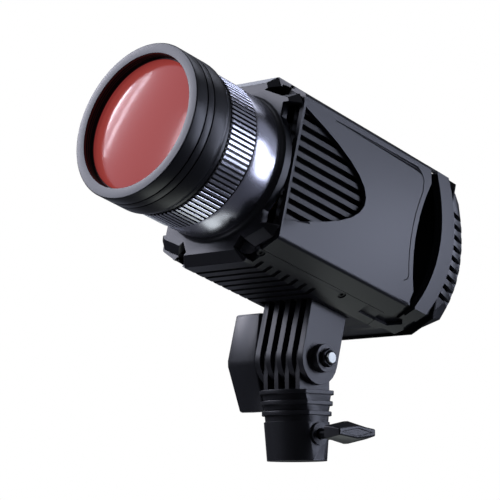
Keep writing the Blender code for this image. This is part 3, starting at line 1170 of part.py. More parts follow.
def make_rings():
    flange_front = BEZEL_BACK - SEAT_GAP
    bore = GUIDE_RADIUS - TUBE_WALL
    guide = [(bore, GUIDE_FRONT), (GUIDE_RADIUS, GUIDE_FRONT), (GUIDE_RADIUS, flange_front),
             (GUIDE_RADIUS + GUIDE_FLANGE, flange_front),
             (GUIDE_RADIUS + GUIDE_FLANGE, flange_front - GUIDE_FLANGE_LENGTH),
             (bore, flange_front - GUIDE_FLANGE_LENGTH)]
    smooth(turned("guide_tube", guide, LARGE_STEPS, OPTICAL_AXIS, ALUMINIUM, ring=True))
    middle = (POLISHED_REAR + POLISHED_FRONT) / 2
    crown = (COLLAR_RADIUS + POLISHED_FRONT_RADIUS) / 2 + POLISHED_CROWN
    polished = [(TUBE_SEAT_RADIUS, POLISHED_FRONT), (POLISHED_FRONT_RADIUS, POLISHED_FRONT), (crown, middle),
                (COLLAR_RADIUS, POLISHED_REAR), (TUBE_SEAT_RADIUS, POLISHED_REAR)]
    smooth(turned("polished_ring", polished, LARGE_STEPS, OPTICAL_AXIS, POLISHED_METAL, ring=True))
    flat_solid("focus_ring", [ribbed_circle(KNURL_RADIUS, KNURL_DEPTH, KNURL_COUNT, KNURL_CREST_SHARE),
                              circle(TUBE_SEAT_RADIUS, LARGE_STEPS)], FOCUS_REAR, FOCUS_FRONT,
               OPTICAL_AXIS, SATIN_BLACK)


def ribbed_circle(radius, depth, count, crest_share):
    """Outline with evenly spaced square ribs."""
    points = []
    pitch = 360 / count
    crest = pitch * crest_share / 2
    root = pitch * (1 - crest_share) / 2
    for number in range(count):
        middle = number * pitch
        for angle, reach in ((middle - crest, radius), (middle + crest, radius),
                             (middle + crest, radius - depth), (middle + crest + 2 * root, radius - depth)):
            points.append((reach * cos(radians(angle)), reach * sin(radians(angle))))
    return points


def make_barrel():
    """Lens barrel: grooved drum with a rounded tail, a deep mouth and a long sliding sleeve."""
    tail = BARREL_REAR + BARREL_TAIL_LENGTH
    rise = BARREL_RADIUS - BARREL_TAIL_RADIUS
    outer = [(MOUTH_RADIUS, BARREL_FRONT), (BARREL_RADIUS - BARREL_LIP, BARREL_FRONT),
             (BARREL_RADIUS, BARREL_FRONT - BARREL_LIP)]
    for station in GROOVE_STATIONS:
        high = station + GROOVE_WIDTH / 2
        low = station - GROOVE_WIDTH / 2
        bottom = BARREL_RADIUS - GROOVE_DEPTH
        outer += [(BARREL_RADIUS, high), (bottom, high), (bottom, low), (BARREL_RADIUS, low)]
    for step in range(TAIL_STEPS + 1):
        turn = pi / 2 * step / TAIL_STEPS
        outer.append((BARREL_TAIL_RADIUS + rise * cos(turn), tail + BARREL_ROUNDING * (1 - sin(turn))))
    outer += [(BARREL_TAIL_RADIUS, BARREL_REAR), (SLEEVE_RADIUS, BARREL_REAR), (SLEEVE_RADIUS, SLEEVE_REAR),
              (SLEEVE_BORE, SLEEVE_REAR), (SLEEVE_BORE, MOUTH_FLOOR), (MOUTH_RADIUS, MOUTH_FLOOR)]
    smooth(turned("lens_barrel", outer, LARGE_STEPS, OPTICAL_AXIS, SATIN_BLACK, ring=True), 50.0)

    radius = MOUTH_RADIUS - SEAT_GAP
    base = MOUTH_FLOOR + SEAT_GAP
    seat = base + FILTER_EDGE
    disc = dome(radius - RETAINER_WALL - SEAT_GAP, FILTER_DOME, seat)
    disc += [(radius, seat), (radius, base), (0, base)]
    smooth(turned("red_filter", disc, LARGE_STEPS, OPTICAL_AXIS, RED_FILTER))
    ring_low = seat + SEAT_GAP
    smooth(turned("filter_retaining_ring",
                  ring_profile(radius - RETAINER_WALL, radius, ring_low, ring_low + RETAINER_LENGTH),
                  LARGE_STEPS, OPTICAL_AXIS, SATIN_BLACK, ring=True))
    lens_radius = SLEEVE_BORE - SEAT_GAP
    front = LENS_REAR + LENS_EDGE
    lens = dome(lens_radius, LENS_DOME, front) + [(lens_radius, LENS_REAR), (0, LENS_REAR)]
    smooth(turned("condenser_lens", lens, MEDIUM_STEPS, OPTICAL_AXIS, CLEAR_GLASS))
    high = LENS_REAR - SEAT_GAP
    smooth(turned("lens_retainer", ring_profile(lens_radius - RETAINER_WALL, lens_radius,
                                                high - LENS_RETAINER_LENGTH, high),
                  MEDIUM_STEPS, OPTICAL_AXIS, SATIN_BLACK, ring=True))


def dome(radius, rise, height):
    """Profile of a spherical cap, from its top on the axis down to its rim."""
    sphere = (radius ** 2 + rise ** 2) / (2 * rise)
    reach = atan2(radius, sphere - rise)
    turns = [reach * i / DOME_STEPS for i in range(DOME_STEPS + 1)]
    return [(sphere * sin(turn), height + rise - sphere + sphere * cos(turn)) for turn in turns]


def make_light_engine():
    plate_back = HEAT_SINK_FRONT - HEAT_SINK_PLATE
    fin_back = HEAT_SINK_FRONT - HEAT_SINK_LENGTH
    pitch = (2 * HEAT_SINK_HALF_WIDTH - SINK_FIN_THICKNESS) / (FIN_COUNT - 1)
    comb = [(-HEAT_SINK_HALF_WIDTH, HEAT_SINK_FRONT)]
    for number in range(FIN_COUNT):
        left = -HEAT_SINK_HALF_WIDTH + number * pitch
        if number:
            comb.append((left, plate_back))
        comb += [(left, fin_back), (left + SINK_FIN_THICKNESS, fin_back)]
        if number < FIN_COUNT - 1:
            comb.append((left + SINK_FIN_THICKNESS, plate_back))
    comb.append((HEAT_SINK_HALF_WIDTH, HEAT_SINK_FRONT))
    flat_solid("heat_sink", [comb], -HEAT_SINK_HALF_HEIGHT, HEAT_SINK_HALF_HEIGHT, OPTICAL_AXIS, ALUMINIUM,
               axes=COMB)
    board = HEAT_SINK_FRONT + SEAT_GAP
    led = blocks("cob_led", [((-LED_HALF, LED_HALF), (-LED_HALF, LED_HALF), (board, board + LED_BOARD))],
                 OPTICAL_AXIS, LED_YELLOW)
    emitter = rods("led_emitter", [Matrix.Identity(4)], LED_EMITTER_RADIUS, board + LED_BOARD / 2,
                   board + LED_BOARD + LED_EMITTER_HEIGHT, OPTICAL_AXIS, steps=SMALL_STEPS)
    join(led, emitter)
    low = board + LED_BOARD + SEAT_GAP
    high = low + REFLECTOR_LENGTH
    cone = [(REFLECTOR_MOUTH, high), (REFLECTOR_MOUTH + REFLECTOR_WALL, high),
            (REFLECTOR_THROAT + REFLECTOR_WALL, low), (REFLECTOR_THROAT, low)]
    smooth(turned("reflector", cone, MEDIUM_STEPS, OPTICAL_AXIS, POLISHED_METAL, ring=True))

    fan_front = fin_back - SEAT_GAP
    fan_back = fan_front - FAN_DEPTH
    frame = flat_solid("fan_frame", [rectangle(FAN_HALF, FAN_HALF, FAN_CORNER)], fan_back, fan_front,
                       OPTICAL_AXIS, SATIN_BLACK)
    bore = rods("fan_bore", [Matrix.Identity(4)], FAN_BORE, fan_back - CUT_OVERRUN, fan_front + CUT_OVERRUN,
                OPTICAL_AXIS, steps=MEDIUM_STEPS)
    cut(frame, bore)
    arm = FAN_SPIDER_ARM / 2
    root = FAN_HUB - arm
    reach = FAN_BORE + arm
    layer = (fan_back + SEAT_GAP, fan_back + FAN_SPIDER_DEPTH - SEAT_GAP)
    arms = blocks("fan_arms", [((root, reach), (-arm, arm), layer), ((-reach, -root), (-arm, arm), layer),
                               ((-arm, arm), (root, reach), layer), ((-arm, arm), (-reach, -root), layer)],
                  OPTICAL_AXIS)
    seat = rods("fan_motor_seat", [Matrix.Identity(4)], FAN_HUB, fan_back, fan_back + FAN_SPIDER_DEPTH,
                OPTICAL_AXIS, steps=SMALL_STEPS)
    join(frame, arms, seat)
    hub_back = fan_back + FAN_SPIDER_DEPTH + SEAT_GAP
    rotor = rods("fan_rotor", [Matrix.Identity(4)], FAN_HUB, hub_back, hub_back + FAN_HUB_DEPTH,
                 OPTICAL_AXIS, SATIN_BLACK, steps=SMALL_STEPS)
    join(rotor, make_blades(hub_back + FAN_HUB_DEPTH / 2))
    board_back = HOUSING_REAR + SEAT_GAP + BULKHEAD_THICKNESS + SEAT_GAP
    stand = BOARD_STANDOFF
    top = board_back + stand + BOARD_THICKNESS
    pcb = blocks("driver_board", [((-BOARD_HALF_WIDTH, BOARD_HALF_WIDTH),
                                   (-BOARD_HALF_HEIGHT, BOARD_HALF_HEIGHT), (board_back + stand, top))],
                 OPTICAL_AXIS, BOARD_GREEN)
    posts = []
    for sx in (-1, 1):
        for sy in (-1, 1):
            x = sx * (BOARD_HALF_WIDTH - stand)
            y = sy * (BOARD_HALF_HEIGHT - stand)
            posts.append(Matrix.Translation((x, y, 0)))
    standoffs = rods("board_standoffs", posts, stand / 2, board_back, top - BOARD_THICKNESS / 2,
                     OPTICAL_AXIS, steps=HEX_STEPS)
    parts = blocks("board_components", [
        ((-BOARD_HALF_WIDTH / 2, 0), (-BOARD_HALF_HEIGHT * 3 / 4, -BOARD_HALF_HEIGHT / 4),
         (top - BOARD_THICKNESS / 2, top + BOARD_PARTS_HEIGHT)),
        ((BOARD_HALF_WIDTH / 4, BOARD_HALF_WIDTH * 3 / 4), (0, BOARD_HALF_HEIGHT / 2),
         (top - BOARD_THICKNESS / 2, top + BOARD_PARTS_HEIGHT / 2))], OPTICAL_AXIS)
    join(pcb, standoffs, parts)


def make_blades(middle):
    """Twisted blades, all in one mesh, rooted in the hub."""
    mesh = bpy.data.meshes.new("fan_blades")
    work = bmesh.new()
    root = FAN_HUB - CUT_OVERRUN / 2
    tip = FAN_BORE - BLADE_TIP_CLEARANCE
    for number in range(FAN_BLADES):
        turn = Matrix.Rotation(2 * pi * number / FAN_BLADES, 4, "Z")
        rows = []
        for radius, pitch in ((root, BLADE_PITCH_DEGREES), (tip, BLADE_PITCH_DEGREES * 2 / 3)):
            lean = Matrix.Translation((radius, 0, middle)) @ Matrix.Rotation(radians(pitch), 4, "X")
            chord = BLADE_CHORD / 2
            thick = BLADE_THICKNESS / 2
            corners = [(0, -chord, -thick), (0, chord, -thick), (0, chord, thick), (0, -chord, thick)]
            rows.append([work.verts.new(turn @ lean @ Vector(corner)) for corner in corners])
        for i in range(4):
            j = (i + 1) % 4
            work.faces.new((rows[0][i], rows[0][j], rows[1][j], rows[1][i]))
        work.faces.new(list(reversed(rows[0])))
        work.faces.new(rows[1])
    bmesh.ops.recalc_face_normals(work, faces=work.faces)
    work.to_mesh(mesh)
    work.free()
    return finish("fan_blades", mesh, OPTICAL_AXIS)


def make_controls():
    """Rear control panel with a display window, a dial, two buttons, a switch and an inlet."""
    back = PANEL_FACE
    panel = flat_solid("control_panel", [rectangle(PANEL_HALF_WIDTH, PANEL_HALF_HEIGHT, PANEL_CORNER)],
                       back, PANEL_SEAT - SEAT_GAP, OPTICAL_AXIS, SATIN_BLACK)
    low = DISPLAY_CENTRE - DISPLAY_HALF_HEIGHT
    high = DISPLAY_CENTRE + DISPLAY_HALF_HEIGHT
    inside = back + DISPLAY_THICKNESS
    display_seat = blocks("display_seat", [((-DISPLAY_HALF_WIDTH, DISPLAY_HALF_WIDTH), (low, high),
                                            (back - CUT_OVERRUN, inside))], OPTICAL_AXIS)
    width = DISPLAY_HALF_WIDTH - SEAT_GAP
    blocks("display_window", [((-width, width), (low + SEAT_GAP, high - SEAT_GAP),
                               (back + SEAT_GAP, inside - SEAT_GAP))], OPTICAL_AXIS, DISPLAY_BLACK)
    through = (back - CUT_OVERRUN, PANEL_SEAT + CUT_OVERRUN)
    inlet_x, inlet_y = INLET_CENTRE
    rocker_x, rocker_y = ROCKER_CENTRE
    body_width = INLET_HALF_WIDTH - INLET_FLANGE
    body_height = INLET_HALF_HEIGHT - INLET_FLANGE
    frame_width = ROCKER_HALF_WIDTH + SEAT_GAP
    frame_height = ROCKER_HALF_HEIGHT + SEAT_GAP
    openings = blocks("panel_cut_outs", [
        ((inlet_x - body_width - SEAT_GAP, inlet_x + body_width + SEAT_GAP),
         (inlet_y - body_height - SEAT_GAP, inlet_y + body_height + SEAT_GAP), through),
        ((rocker_x - frame_width, rocker_x + frame_width), (rocker_y - frame_height, rocker_y + frame_height),
         through)], OPTICAL_AXIS)
    buttons = {"mode_button": Matrix.Translation((-BUTTON_OFFSET, DIAL_CENTRE, 0)),
               "effect_button": Matrix.Translation((BUTTON_OFFSET, DIAL_CENTRE, 0))}
    stems = rods("panel_bores", buttons.values(), BUTTON_RADIUS + SEAT_GAP, *through, OPTICAL_AXIS,
                 steps=SMALL_STEPS)
    dial_bore = rods("dial_bore", [Matrix.Identity(4)], DIAL_STEM_RADIUS + SEAT_GAP, *through, DIAL_AXIS,
                     steps=SMALL_STEPS)
    cut(panel, display_seat, openings, stems, dial_bore)

    dial_low = back - SEAT_GAP
    ribbed = ribbed_circle(DIAL_RADIUS, DIAL_RIB_DEPTH, DIAL_RIBS, DIAL_CREST_SHARE)
    dial = flat_solid("dimmer_dial", [ribbed], dial_low - DIAL_HEIGHT, dial_low, DIAL_AXIS, SATIN_BLACK)
    stem = rods("dial_stem", [Matrix.Identity(4)], DIAL_STEM_RADIUS, dial_low - DIAL_HEIGHT / 2,
                PANEL_SEAT - SEAT_GAP, DIAL_AXIS, steps=SMALL_STEPS)
    face = dial_low - DIAL_HEIGHT
    mark = blocks("dial_mark", [((-DIAL_MARK_WIDTH / 2, DIAL_MARK_WIDTH / 2), (DIAL_RADIUS / 2, DIAL_RADIUS),
                                 (face - CUT_OVERRUN, face + DIAL_MARK_DEPTH))], DIAL_AXIS)
    join(dial, stem)
    cut(dial, mark)
    button_back = PANEL_SEAT - SEAT_GAP - BUTTON_TRAVEL
    for name, place in buttons.items():
        rods(name, [place], BUTTON_RADIUS, back - BUTTON_HEIGHT, button_back, OPTICAL_AXIS, BODY_GREY,
             steps=SMALL_STEPS)

    body_front = PANEL_SEAT + INLET_DEPTH / 2
    inlet = blocks("mains_inlet", [((inlet_x - body_width, inlet_x + body_width),
                                    (inlet_y - body_height, inlet_y + body_height),
                                    (back - INLET_FLANGE / 2, body_front))], OPTICAL_AXIS, SATIN_BLACK)
    flange = blocks("inlet_flange", [((inlet_x - INLET_HALF_WIDTH, inlet_x + INLET_HALF_WIDTH),
                                      (inlet_y - INLET_HALF_HEIGHT, inlet_y + INLET_HALF_HEIGHT),
                                      (back - SEAT_GAP - INLET_FLANGE, back - SEAT_GAP))], OPTICAL_AXIS)
    width = body_width - INLET_RIM
    height = body_height - INLET_RIM
    span = (back - INLET_FLANGE - CUT_OVERRUN, body_front - INLET_RIM)
    cavity = blocks("inlet_cavity", [((inlet_x - width, inlet_x + width),
                                      (inlet_y - height, inlet_y + height), span)], OPTICAL_AXIS)
    pins = []
    for x, y in ((-PIN_SPREAD, -PIN_RISE / 2), (0, PIN_RISE / 2), (PIN_SPREAD, -PIN_RISE / 2)):
        pins.append(((inlet_x + x - PIN_HALF_WIDTH, inlet_x + x + PIN_HALF_WIDTH),
                     (inlet_y + y - PIN_HALF_HEIGHT, inlet_y + y + PIN_HALF_HEIGHT),
                     (back + PIN_START, body_front - INLET_RIM / 2)))
    join(inlet, flange)
    cut(inlet, cavity)
    join(inlet, blocks("inlet_pins", pins, OPTICAL_AXIS))

    axis = empty("rocker_axis", (rocker_x, rocker_y, PANEL_SEAT), (radians(-ROCKER_SWING), 0, 0),
                 OPTICAL_AXIS)
    proud = PANEL_FACE - PANEL_SEAT - ROCKER_PROUD
    half = ROCKER_HALF_HEIGHT - 2 * SEAT_GAP
    outline = [(proud, -half), (proud + ROCKER_PROUD / 2, 0), (proud, half), (SEAT_GAP, half * 2 / 3),
               (SEAT_GAP, -half * 2 / 3)]
    flat_solid("rocker_switch", [outline], -ROCKER_HALF_WIDTH + SEAT_GAP, ROCKER_HALF_WIDTH - SEAT_GAP, axis,
               DISPLAY_BLACK, axes=SIDE_ON)
    corners = [Matrix.Translation((side * (PANEL_HALF_WIDTH - PANEL_SCREW_INSET), y, 0))
               for side in (-1, 1) for y in (PANEL_HALF_HEIGHT - PANEL_SCREW_INSET, PANEL_SCREW_LOW)]
    for number, corner in enumerate(corners):
        rods("panel_screw_%d" % (number + 1), [corner], PANEL_SCREW_RADIUS,
             back - SEAT_GAP - PANEL_SCREW_HEIGHT, back - SEAT_GAP, OPTICAL_AXIS, BRIGHT_STEEL)


def make_head():
    notches = make_housing()
    make_housing_screws()
    for side, sign in (("right", 1), ("left", -1)):
        make_side_panel("side_panel_" + side, sign)
        make_grille("vent_grille_" + side, sign)
    make_bezel(notches)
    make_rear()
    make_hoop()
    make_core()
    make_yoke()
    make_rings()
    make_barrel()
    make_light_engine()
    make_controls()


make_receiver()
make_pivot()
make_thumb_screw()
make_head()
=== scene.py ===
import json
from math import atan2, cos, pi, radians, sin, tau

import bmesh
import bpy
import numpy as np
from mathutils import Matrix, Vector
from mathutils.bvhtree import BVHTree

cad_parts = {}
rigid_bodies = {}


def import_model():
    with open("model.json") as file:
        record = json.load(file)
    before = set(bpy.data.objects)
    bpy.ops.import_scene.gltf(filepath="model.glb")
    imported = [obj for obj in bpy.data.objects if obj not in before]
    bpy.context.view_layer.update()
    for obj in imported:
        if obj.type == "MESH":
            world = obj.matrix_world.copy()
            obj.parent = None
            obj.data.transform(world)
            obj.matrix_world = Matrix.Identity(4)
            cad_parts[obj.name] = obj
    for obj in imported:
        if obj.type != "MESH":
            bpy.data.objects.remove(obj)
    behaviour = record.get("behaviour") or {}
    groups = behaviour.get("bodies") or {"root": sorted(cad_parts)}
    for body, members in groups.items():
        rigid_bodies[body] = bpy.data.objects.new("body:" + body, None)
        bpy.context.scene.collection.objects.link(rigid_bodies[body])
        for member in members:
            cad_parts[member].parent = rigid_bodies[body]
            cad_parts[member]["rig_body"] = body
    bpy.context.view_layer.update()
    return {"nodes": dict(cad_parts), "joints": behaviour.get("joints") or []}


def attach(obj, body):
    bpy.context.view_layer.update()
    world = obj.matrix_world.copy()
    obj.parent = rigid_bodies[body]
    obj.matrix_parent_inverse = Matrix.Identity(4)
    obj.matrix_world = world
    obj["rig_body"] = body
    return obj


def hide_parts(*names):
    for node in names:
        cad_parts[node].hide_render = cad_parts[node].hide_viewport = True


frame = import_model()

mm = 0.001
nodes = frame["nodes"]
joints = {joint["name"]: joint for joint in frame["joints"]}


# Places read from the frame

def placeOn(origin, forward, across):
    # a matrix whose z axis runs forward and whose x axis runs across
    z = Vector(forward).normalized()
    x = Vector(across).normalized()
    place = Matrix((x, z.cross(x), z)).transposed().to_4x4()
    place.translation = origin
    return place


def pointsIn(node, place):
    # all points of a node, seen from a place
    points = np.zeros(len(nodes[node].data.vertices) * 3)
    nodes[node].data.vertices.foreach_get("co", points)
    turn = np.array(place.inverted())
    return points.reshape(-1, 3) @ turn[:3, :3].T + turn[:3, 3]


def spanIn(node, place):
    # lowest and highest x, y, z of a node, and its least and greatest radius, seen from a place
    points = pointsIn(node, place)
    radius = np.hypot(points[:, 0], points[:, 1])
    return points.min(0), points.max(0), radius.min(), radius.max()


pivot = Vector(joints["head_tilt"]["pos_m"])
forward = Vector(joints["focus_turn"]["axis"])
onAxis = Vector(joints["focus_turn"]["pos_m"])
across = Vector(joints["head_tilt"]["axis"])
# on the optical axis beside the tilt pivot: x runs across, y up and z forward, out of the lens
lensPlace = placeOn(onAxis + forward * (pivot - onAxis).dot(forward), forward, across)


def frontOf(node):
    # how far forward a node reaches along the optical axis
    return spanIn(node, lensPlace)[1][2]


print("frame read, optical axis through", [round(v, 4) for v in lensPlace.translation])


# Surfaces

def surface(name, grid, closedU=True):
    # a grid of points P(u, v), one face for each cell, closed round v, and along u closed too or left open
    rows, columns = grid.shape[:2]
    index = np.arange(rows * columns).reshape(rows, columns)
    if closedU:
        index = np.vstack([index, index[:1]])
    index = np.hstack([index, index[:, :1]])
    cells = [index[:-1, :-1], index[1:, :-1], index[1:, 1:], index[:-1, 1:]]
    faces = np.stack(cells, axis=-1).reshape(-1, 4)
    mesh = bpy.data.meshes.new(name)
    mesh.from_pydata(grid.reshape(-1, 3).tolist(), [], faces.tolist())
    piece = bpy.data.objects.new(name, mesh)
    bpy.context.scene.collection.objects.link(piece)
    return piece


# distances in mm within which doubles merge, and the degrees within which triangles make one flat face
weld = {"surface": 0.002, "casting": 0.02, "flat": 0.6}


def tidied(piece, sharp):
    # doubles merged, faces turned outwards, smooth but for the edges sharper than an angle
    mesh = bmesh.new()
    mesh.from_mesh(piece.data)
    bmesh.ops.remove_doubles(mesh, verts=mesh.verts, dist=weld["surface"] * mm)
    bmesh.ops.recalc_face_normals(mesh, faces=mesh.faces)
    mesh.to_mesh(piece.data)
    mesh.free()
    piece.data.shade_smooth()
    piece.data.set_sharp_from_angle(angle=radians(sharp))


def roundedProfile(corners, steps=5):
    # corners are (radius, height, rounding): each gives an arc of its rounding, tangent to its two sides
    points = []
    for here, (r, z, rounding) in enumerate(corners):
        corner = np.array((r, z))
        before = np.array(corners[here - 1][:2]) - corner
        after = np.array(corners[(here + 1) % len(corners)][:2]) - corner
        if rounding <= 0:
            points.append(corner)
            continue
        before, after = before / np.linalg.norm(before), after / np.linalg.norm(after)
        half = np.arccos(np.clip(before @ after, -1, 1)) / 2
        middle = (before + after) / np.linalg.norm(before + after)
        centre = corner + middle * rounding / sin(half)
        start = corner + before * rounding / np.tan(half) - centre
        end = corner + after * rounding / np.tan(half) - centre
        sweep = atan2(start[0] * end[1] - start[1] * end[0], start @ end)
        for share in np.linspace(0, 1, steps + 1):
            turn = sweep * share
            spin = np.array(((cos(turn), -sin(turn)), (sin(turn), cos(turn))))
            points.append(centre + spin @ start)
    return np.array(points)


def turned(name, profile, place, segments, ripple=None):
    # P(u, v) = place (r(u) cos v, r(u) sin v, z(u)), where a ripple may change r from point to point
    angle = np.linspace(0, tau, segments, endpoint=False)
    r, v = np.meshgrid(profile[:, 0], angle, indexing="ij")
    z = np.meshgrid(profile[:, 1], angle, indexing="ij")[0]
    if ripple is not None:
        r = ripple(r, v, z)
    points = np.stack([r * np.cos(v), r * np.sin(v), z], axis=-1)
    matrix = np.array(place)
    return surface(name, points @ matrix[:3, :3].T + matrix[:3, 3])


def dressed(piece, material, body, *stoodFor, slot=None, sharp=32):
    # a surface made a finished piece: its material, the body it rides on, the nodes it stands for, and their
    # slot, which is not used
    tidied(piece, sharp)
    piece.data.materials.append(material)
    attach(piece, body)
    if stoodFor:
        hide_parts(*stoodFor)
    return piece


# Materials

def linear(code):
    # sRGB hex to linear light: c / 12.92 up to 0.04045, and above it ((c + 0.055) / 1.055) to the power 2.4
    shares = [int(code[start:start + 2], 16) / 255 for start in (1, 3, 5)]
    return [c / 12.92 if c <= 0.04045 else ((c + 0.055) / 1.055) ** 2.4 for c in shares] + [1]


def addNode(tree, kind, settings=(), links=()):
    # settings are (socket or property, value) pairs, links are (socket, output) pairs
    node = tree.nodes.new(kind)
    for name, value in settings:
        if name in node.inputs:
            node.inputs[name].default_value = value
        else:
            setattr(node, name, value)
    for name, output in links:
        tree.links.new(node.inputs[name], output)
    return node


# detail of the fine and of the cloudy noise, and the Mix node's sockets for two colours and their result
texture = {"grainDetail": 3.0, "patchDetail": 4.0, "firstColour": 6, "secondColour": 7, "mixedColour": 2}


def finish(name, hexColour, roughness, metallic=0.0, sockets=(), grain=None, patch=None):
    # grain is (size in mm, height in mm, roughness change), patch is (size in mm, second colour, amount)
    material = bpy.data.materials.new(name)
    material.use_nodes = True
    tree = material.node_tree
    shader = tree.nodes["Principled BSDF"]
    shader.inputs["Base Color"].default_value = linear(hexColour)
    shader.inputs["Roughness"].default_value = roughness
    shader.inputs["Metallic"].default_value = metallic
    for socket, value in sockets:
        shader.inputs[socket].default_value = value
    place = addNode(tree, "ShaderNodeTexCoord").outputs["Object"]
    if grain:
        size, height, change = grain
        settings = [("Scale", 1 / (size * mm)), ("Detail", texture["grainDetail"])]
        speckle = addNode(tree, "ShaderNodeTexNoise", settings, [("Vector", place)])
        settings = [("Strength", 1.0), ("Distance", height * mm)]
        bump = addNode(tree, "ShaderNodeBump", settings, [("Height", speckle.outputs["Fac"])])
        tree.links.new(shader.inputs["Normal"], bump.outputs["Normal"])
        settings = [("To Min", roughness - change), ("To Max", roughness + change)]
        spread = addNode(tree, "ShaderNodeMapRange", settings, [("Value", speckle.outputs["Fac"])])
        tree.links.new(shader.inputs["Roughness"], spread.outputs["Result"])
    if patch:
        size, other, amount = patch
        settings = [("Scale", 1 / (size * mm)), ("Detail", texture["patchDetail"])]
        cloud = addNode(tree, "ShaderNodeTexNoise", settings, [("Vector", place)])
        settings = [("To Min", 0.0), ("To Max", amount)]
        share = addNode(tree, "ShaderNodeMapRange", settings, [("Value", cloud.outputs["Fac"])])
        mix = addNode(tree, "ShaderNodeMix", [("data_type", "RGBA")], [("Factor", share.outputs["Result"])])
        mix.inputs[texture["firstColour"]].default_value = linear(hexColour)
        mix.inputs[texture["secondColour"]].default_value = linear(other)
        tree.links.new(shader.inputs["Base Color"], mix.outputs[texture["mixedColour"]])
    return material


# Powder coat on die cast aluminium: baked resin that leaves a very fine orange peel and a satin sheen
powderCoat = finish("powderCoat", "#26272b", 0.36, sockets=[("Specular IOR Level", 0.42)],
                    grain=(0.5, 0.006, 0.04), patch=(24, "#202125", 0.6))
# The same coat on the yoke and the receiver, a little darker and rougher
bracketCoat = finish("bracketCoat", "#222327", 0.38, grain=(0.6, 0.008, 0.05), patch=(18, "#1c1d21", 0.6))
# Black anodised aluminium: a dyed oxide skin on a turned surface, deep black with a tight sheen
blackAnodised = finish("blackAnodised", "#15161a", 0.34, grain=(0.3, 0.003, 0.04))
# Knurled aluminium, black in its grooves and burnished bright on its crests
knurlAnodised = finish("knurlAnodised", "#d0d1da", 0.27, metallic=1.0)
# Smoked polish: turned aluminium, polished bright under a thin smoked lacquer
smokedPolish = finish("smokedPolish", "#ccccd6", 0.25, metallic=1.0)
# Zinc plated steel: bright, slightly cloudy plating
brightZinc = finish("brightZinc", "#9a9d98", 0.32, metallic=1.0, grain=(1.2, 0.01, 0.08))
# Black oxide steel: a thin black conversion skin, oiled
blackOxide = finish("blackOxide", "#1a1b1e", 0.38, metallic=0.6, grain=(0.4, 0.006, 0.06))
# Extruded aluminium of the heat sink, with a faint grain; its dark colour is painted shade, so the inside
# seen through the vents reads black
shadeDarkAluminium = finish("shadeDarkAluminium", "#2b2c2f", 0.45, metallic=0.8, grain=(0.8, 0.01, 0.08))
# Glass filled nylon: moulded knob, spark eroded satin texture
mouldedNylon = finish("mouldedNylon", "#232428", 0.36, grain=(0.4, 0.006, 0.05), patch=(15, "#1d1e22", 0.6))
# Moulded ABS, fine matte texture
blackPlastic = finish("blackPlastic", "#16171a", 0.5, grain=(0.35, 0.01, 0.06))
# Matte black that paints shade: the shut-in faces of the castings, the sheets behind the grilles, the wall in
# the grip gap and the nodes of the deep_black slot are black where there is only shade
paintedShadeBlack = finish("paintedShadeBlack", "#08080a", 0.8, grain=(0.5, 0.01, 0.05))
# Gloss black polycarbonate window
glossBlack = finish("glossBlack", "#08090c", 0.08)
# Tinted acrylic filter, dyed through and flame polished; its low glow is painted light, an even glow with no
# lamp behind it that fills the shade of the barrel's lip
redAcrylicPaintedGlow = finish("redAcrylicPaintedGlow", "#a04a3c", 0.22, sockets=[
    ("Specular IOR Level", 0.05), ("Coat Weight", 0.2), ("Coat Roughness", 0.09),
    ("Emission Color", linear("#c44947")), ("Emission Strength", 0.37)])
# Optical glass
clearGlass = finish("clearGlass", "#dfe8ea", 0.03, sockets=[("Transmission Weight", 1.0), ("IOR", 1.52)])
# Phosphor gel over the diodes, yellow and slightly granular
phosphorGel = finish("phosphorGel", "#e8c23c", 0.6, grain=(0.3, 0.02, 0.05))
# Glass epoxy board under green solder mask
solderMask = finish("solderMask", "#12522c", 0.3, grain=(2.0, 0.02, 0.05))
# Machined brass of the contact pins
machinedBrass = finish("machinedBrass", "#c9a450", 0.3, metallic=1.0)

ownMaterials = {
    "body_coat": powderCoat, "bracket_coat": bracketCoat, "black_anodised": blackAnodised,
    "knurl_anodised": knurlAnodised, "polished_metal": smokedPolish, "bright_steel": brightZinc,
    "black_steel": blackOxide, "bare_aluminium": shadeDarkAluminium, "knob_plastic": mouldedNylon,
    "black_plastic": blackPlastic, "deep_black": paintedShadeBlack, "gloss_black": glossBlack,
    "red_filter": redAcrylicPaintedGlow, "clear_glass": clearGlass, "phosphor": phosphorGel,
    "board_green": solderMask, "brass": machinedBrass,
}
# every node gets the finish made for the slot that it came with
slotOf = {name: node.material_slots[0].material.name.split(".")[0] for name, node in nodes.items()}
for name, node in nodes.items():
    for slot in node.material_slots:
        base = slot.material.name.split(".")[0]
        slot.material = ownMaterials.get(base, powderCoat)
print("materials made and given to", len(nodes), "nodes")


# Castings and mouldings: each CAD form again, with its real edges eased

def plainCopy(node, name):
    # the node's own mesh again: doubles merged, the triangles of one flat face joined into one face
    piece = bpy.data.objects.new(name, nodes[node].data.copy())
    bpy.context.scene.collection.objects.link(piece)
    mesh = bmesh.new()
    mesh.from_mesh(piece.data)
    bmesh.ops.remove_doubles(mesh, verts=mesh.verts, dist=weld["casting"] * mm)
    flat = radians(weld["flat"])
    bmesh.ops.dissolve_limit(mesh, angle_limit=flat, verts=mesh.verts, edges=mesh.edges)
    mesh.to_mesh(piece.data)
    mesh.free()
    return piece


# for the painted shade in recesses: reach of the rays and lift of their start in mm, share of the half sphere
# that has to be shut in, and the largest face in square mm that counts
recessShade = {"reach": 14.0, "share": 0.55, "rays": 48, "lift": 0.05, "area": 220.0}


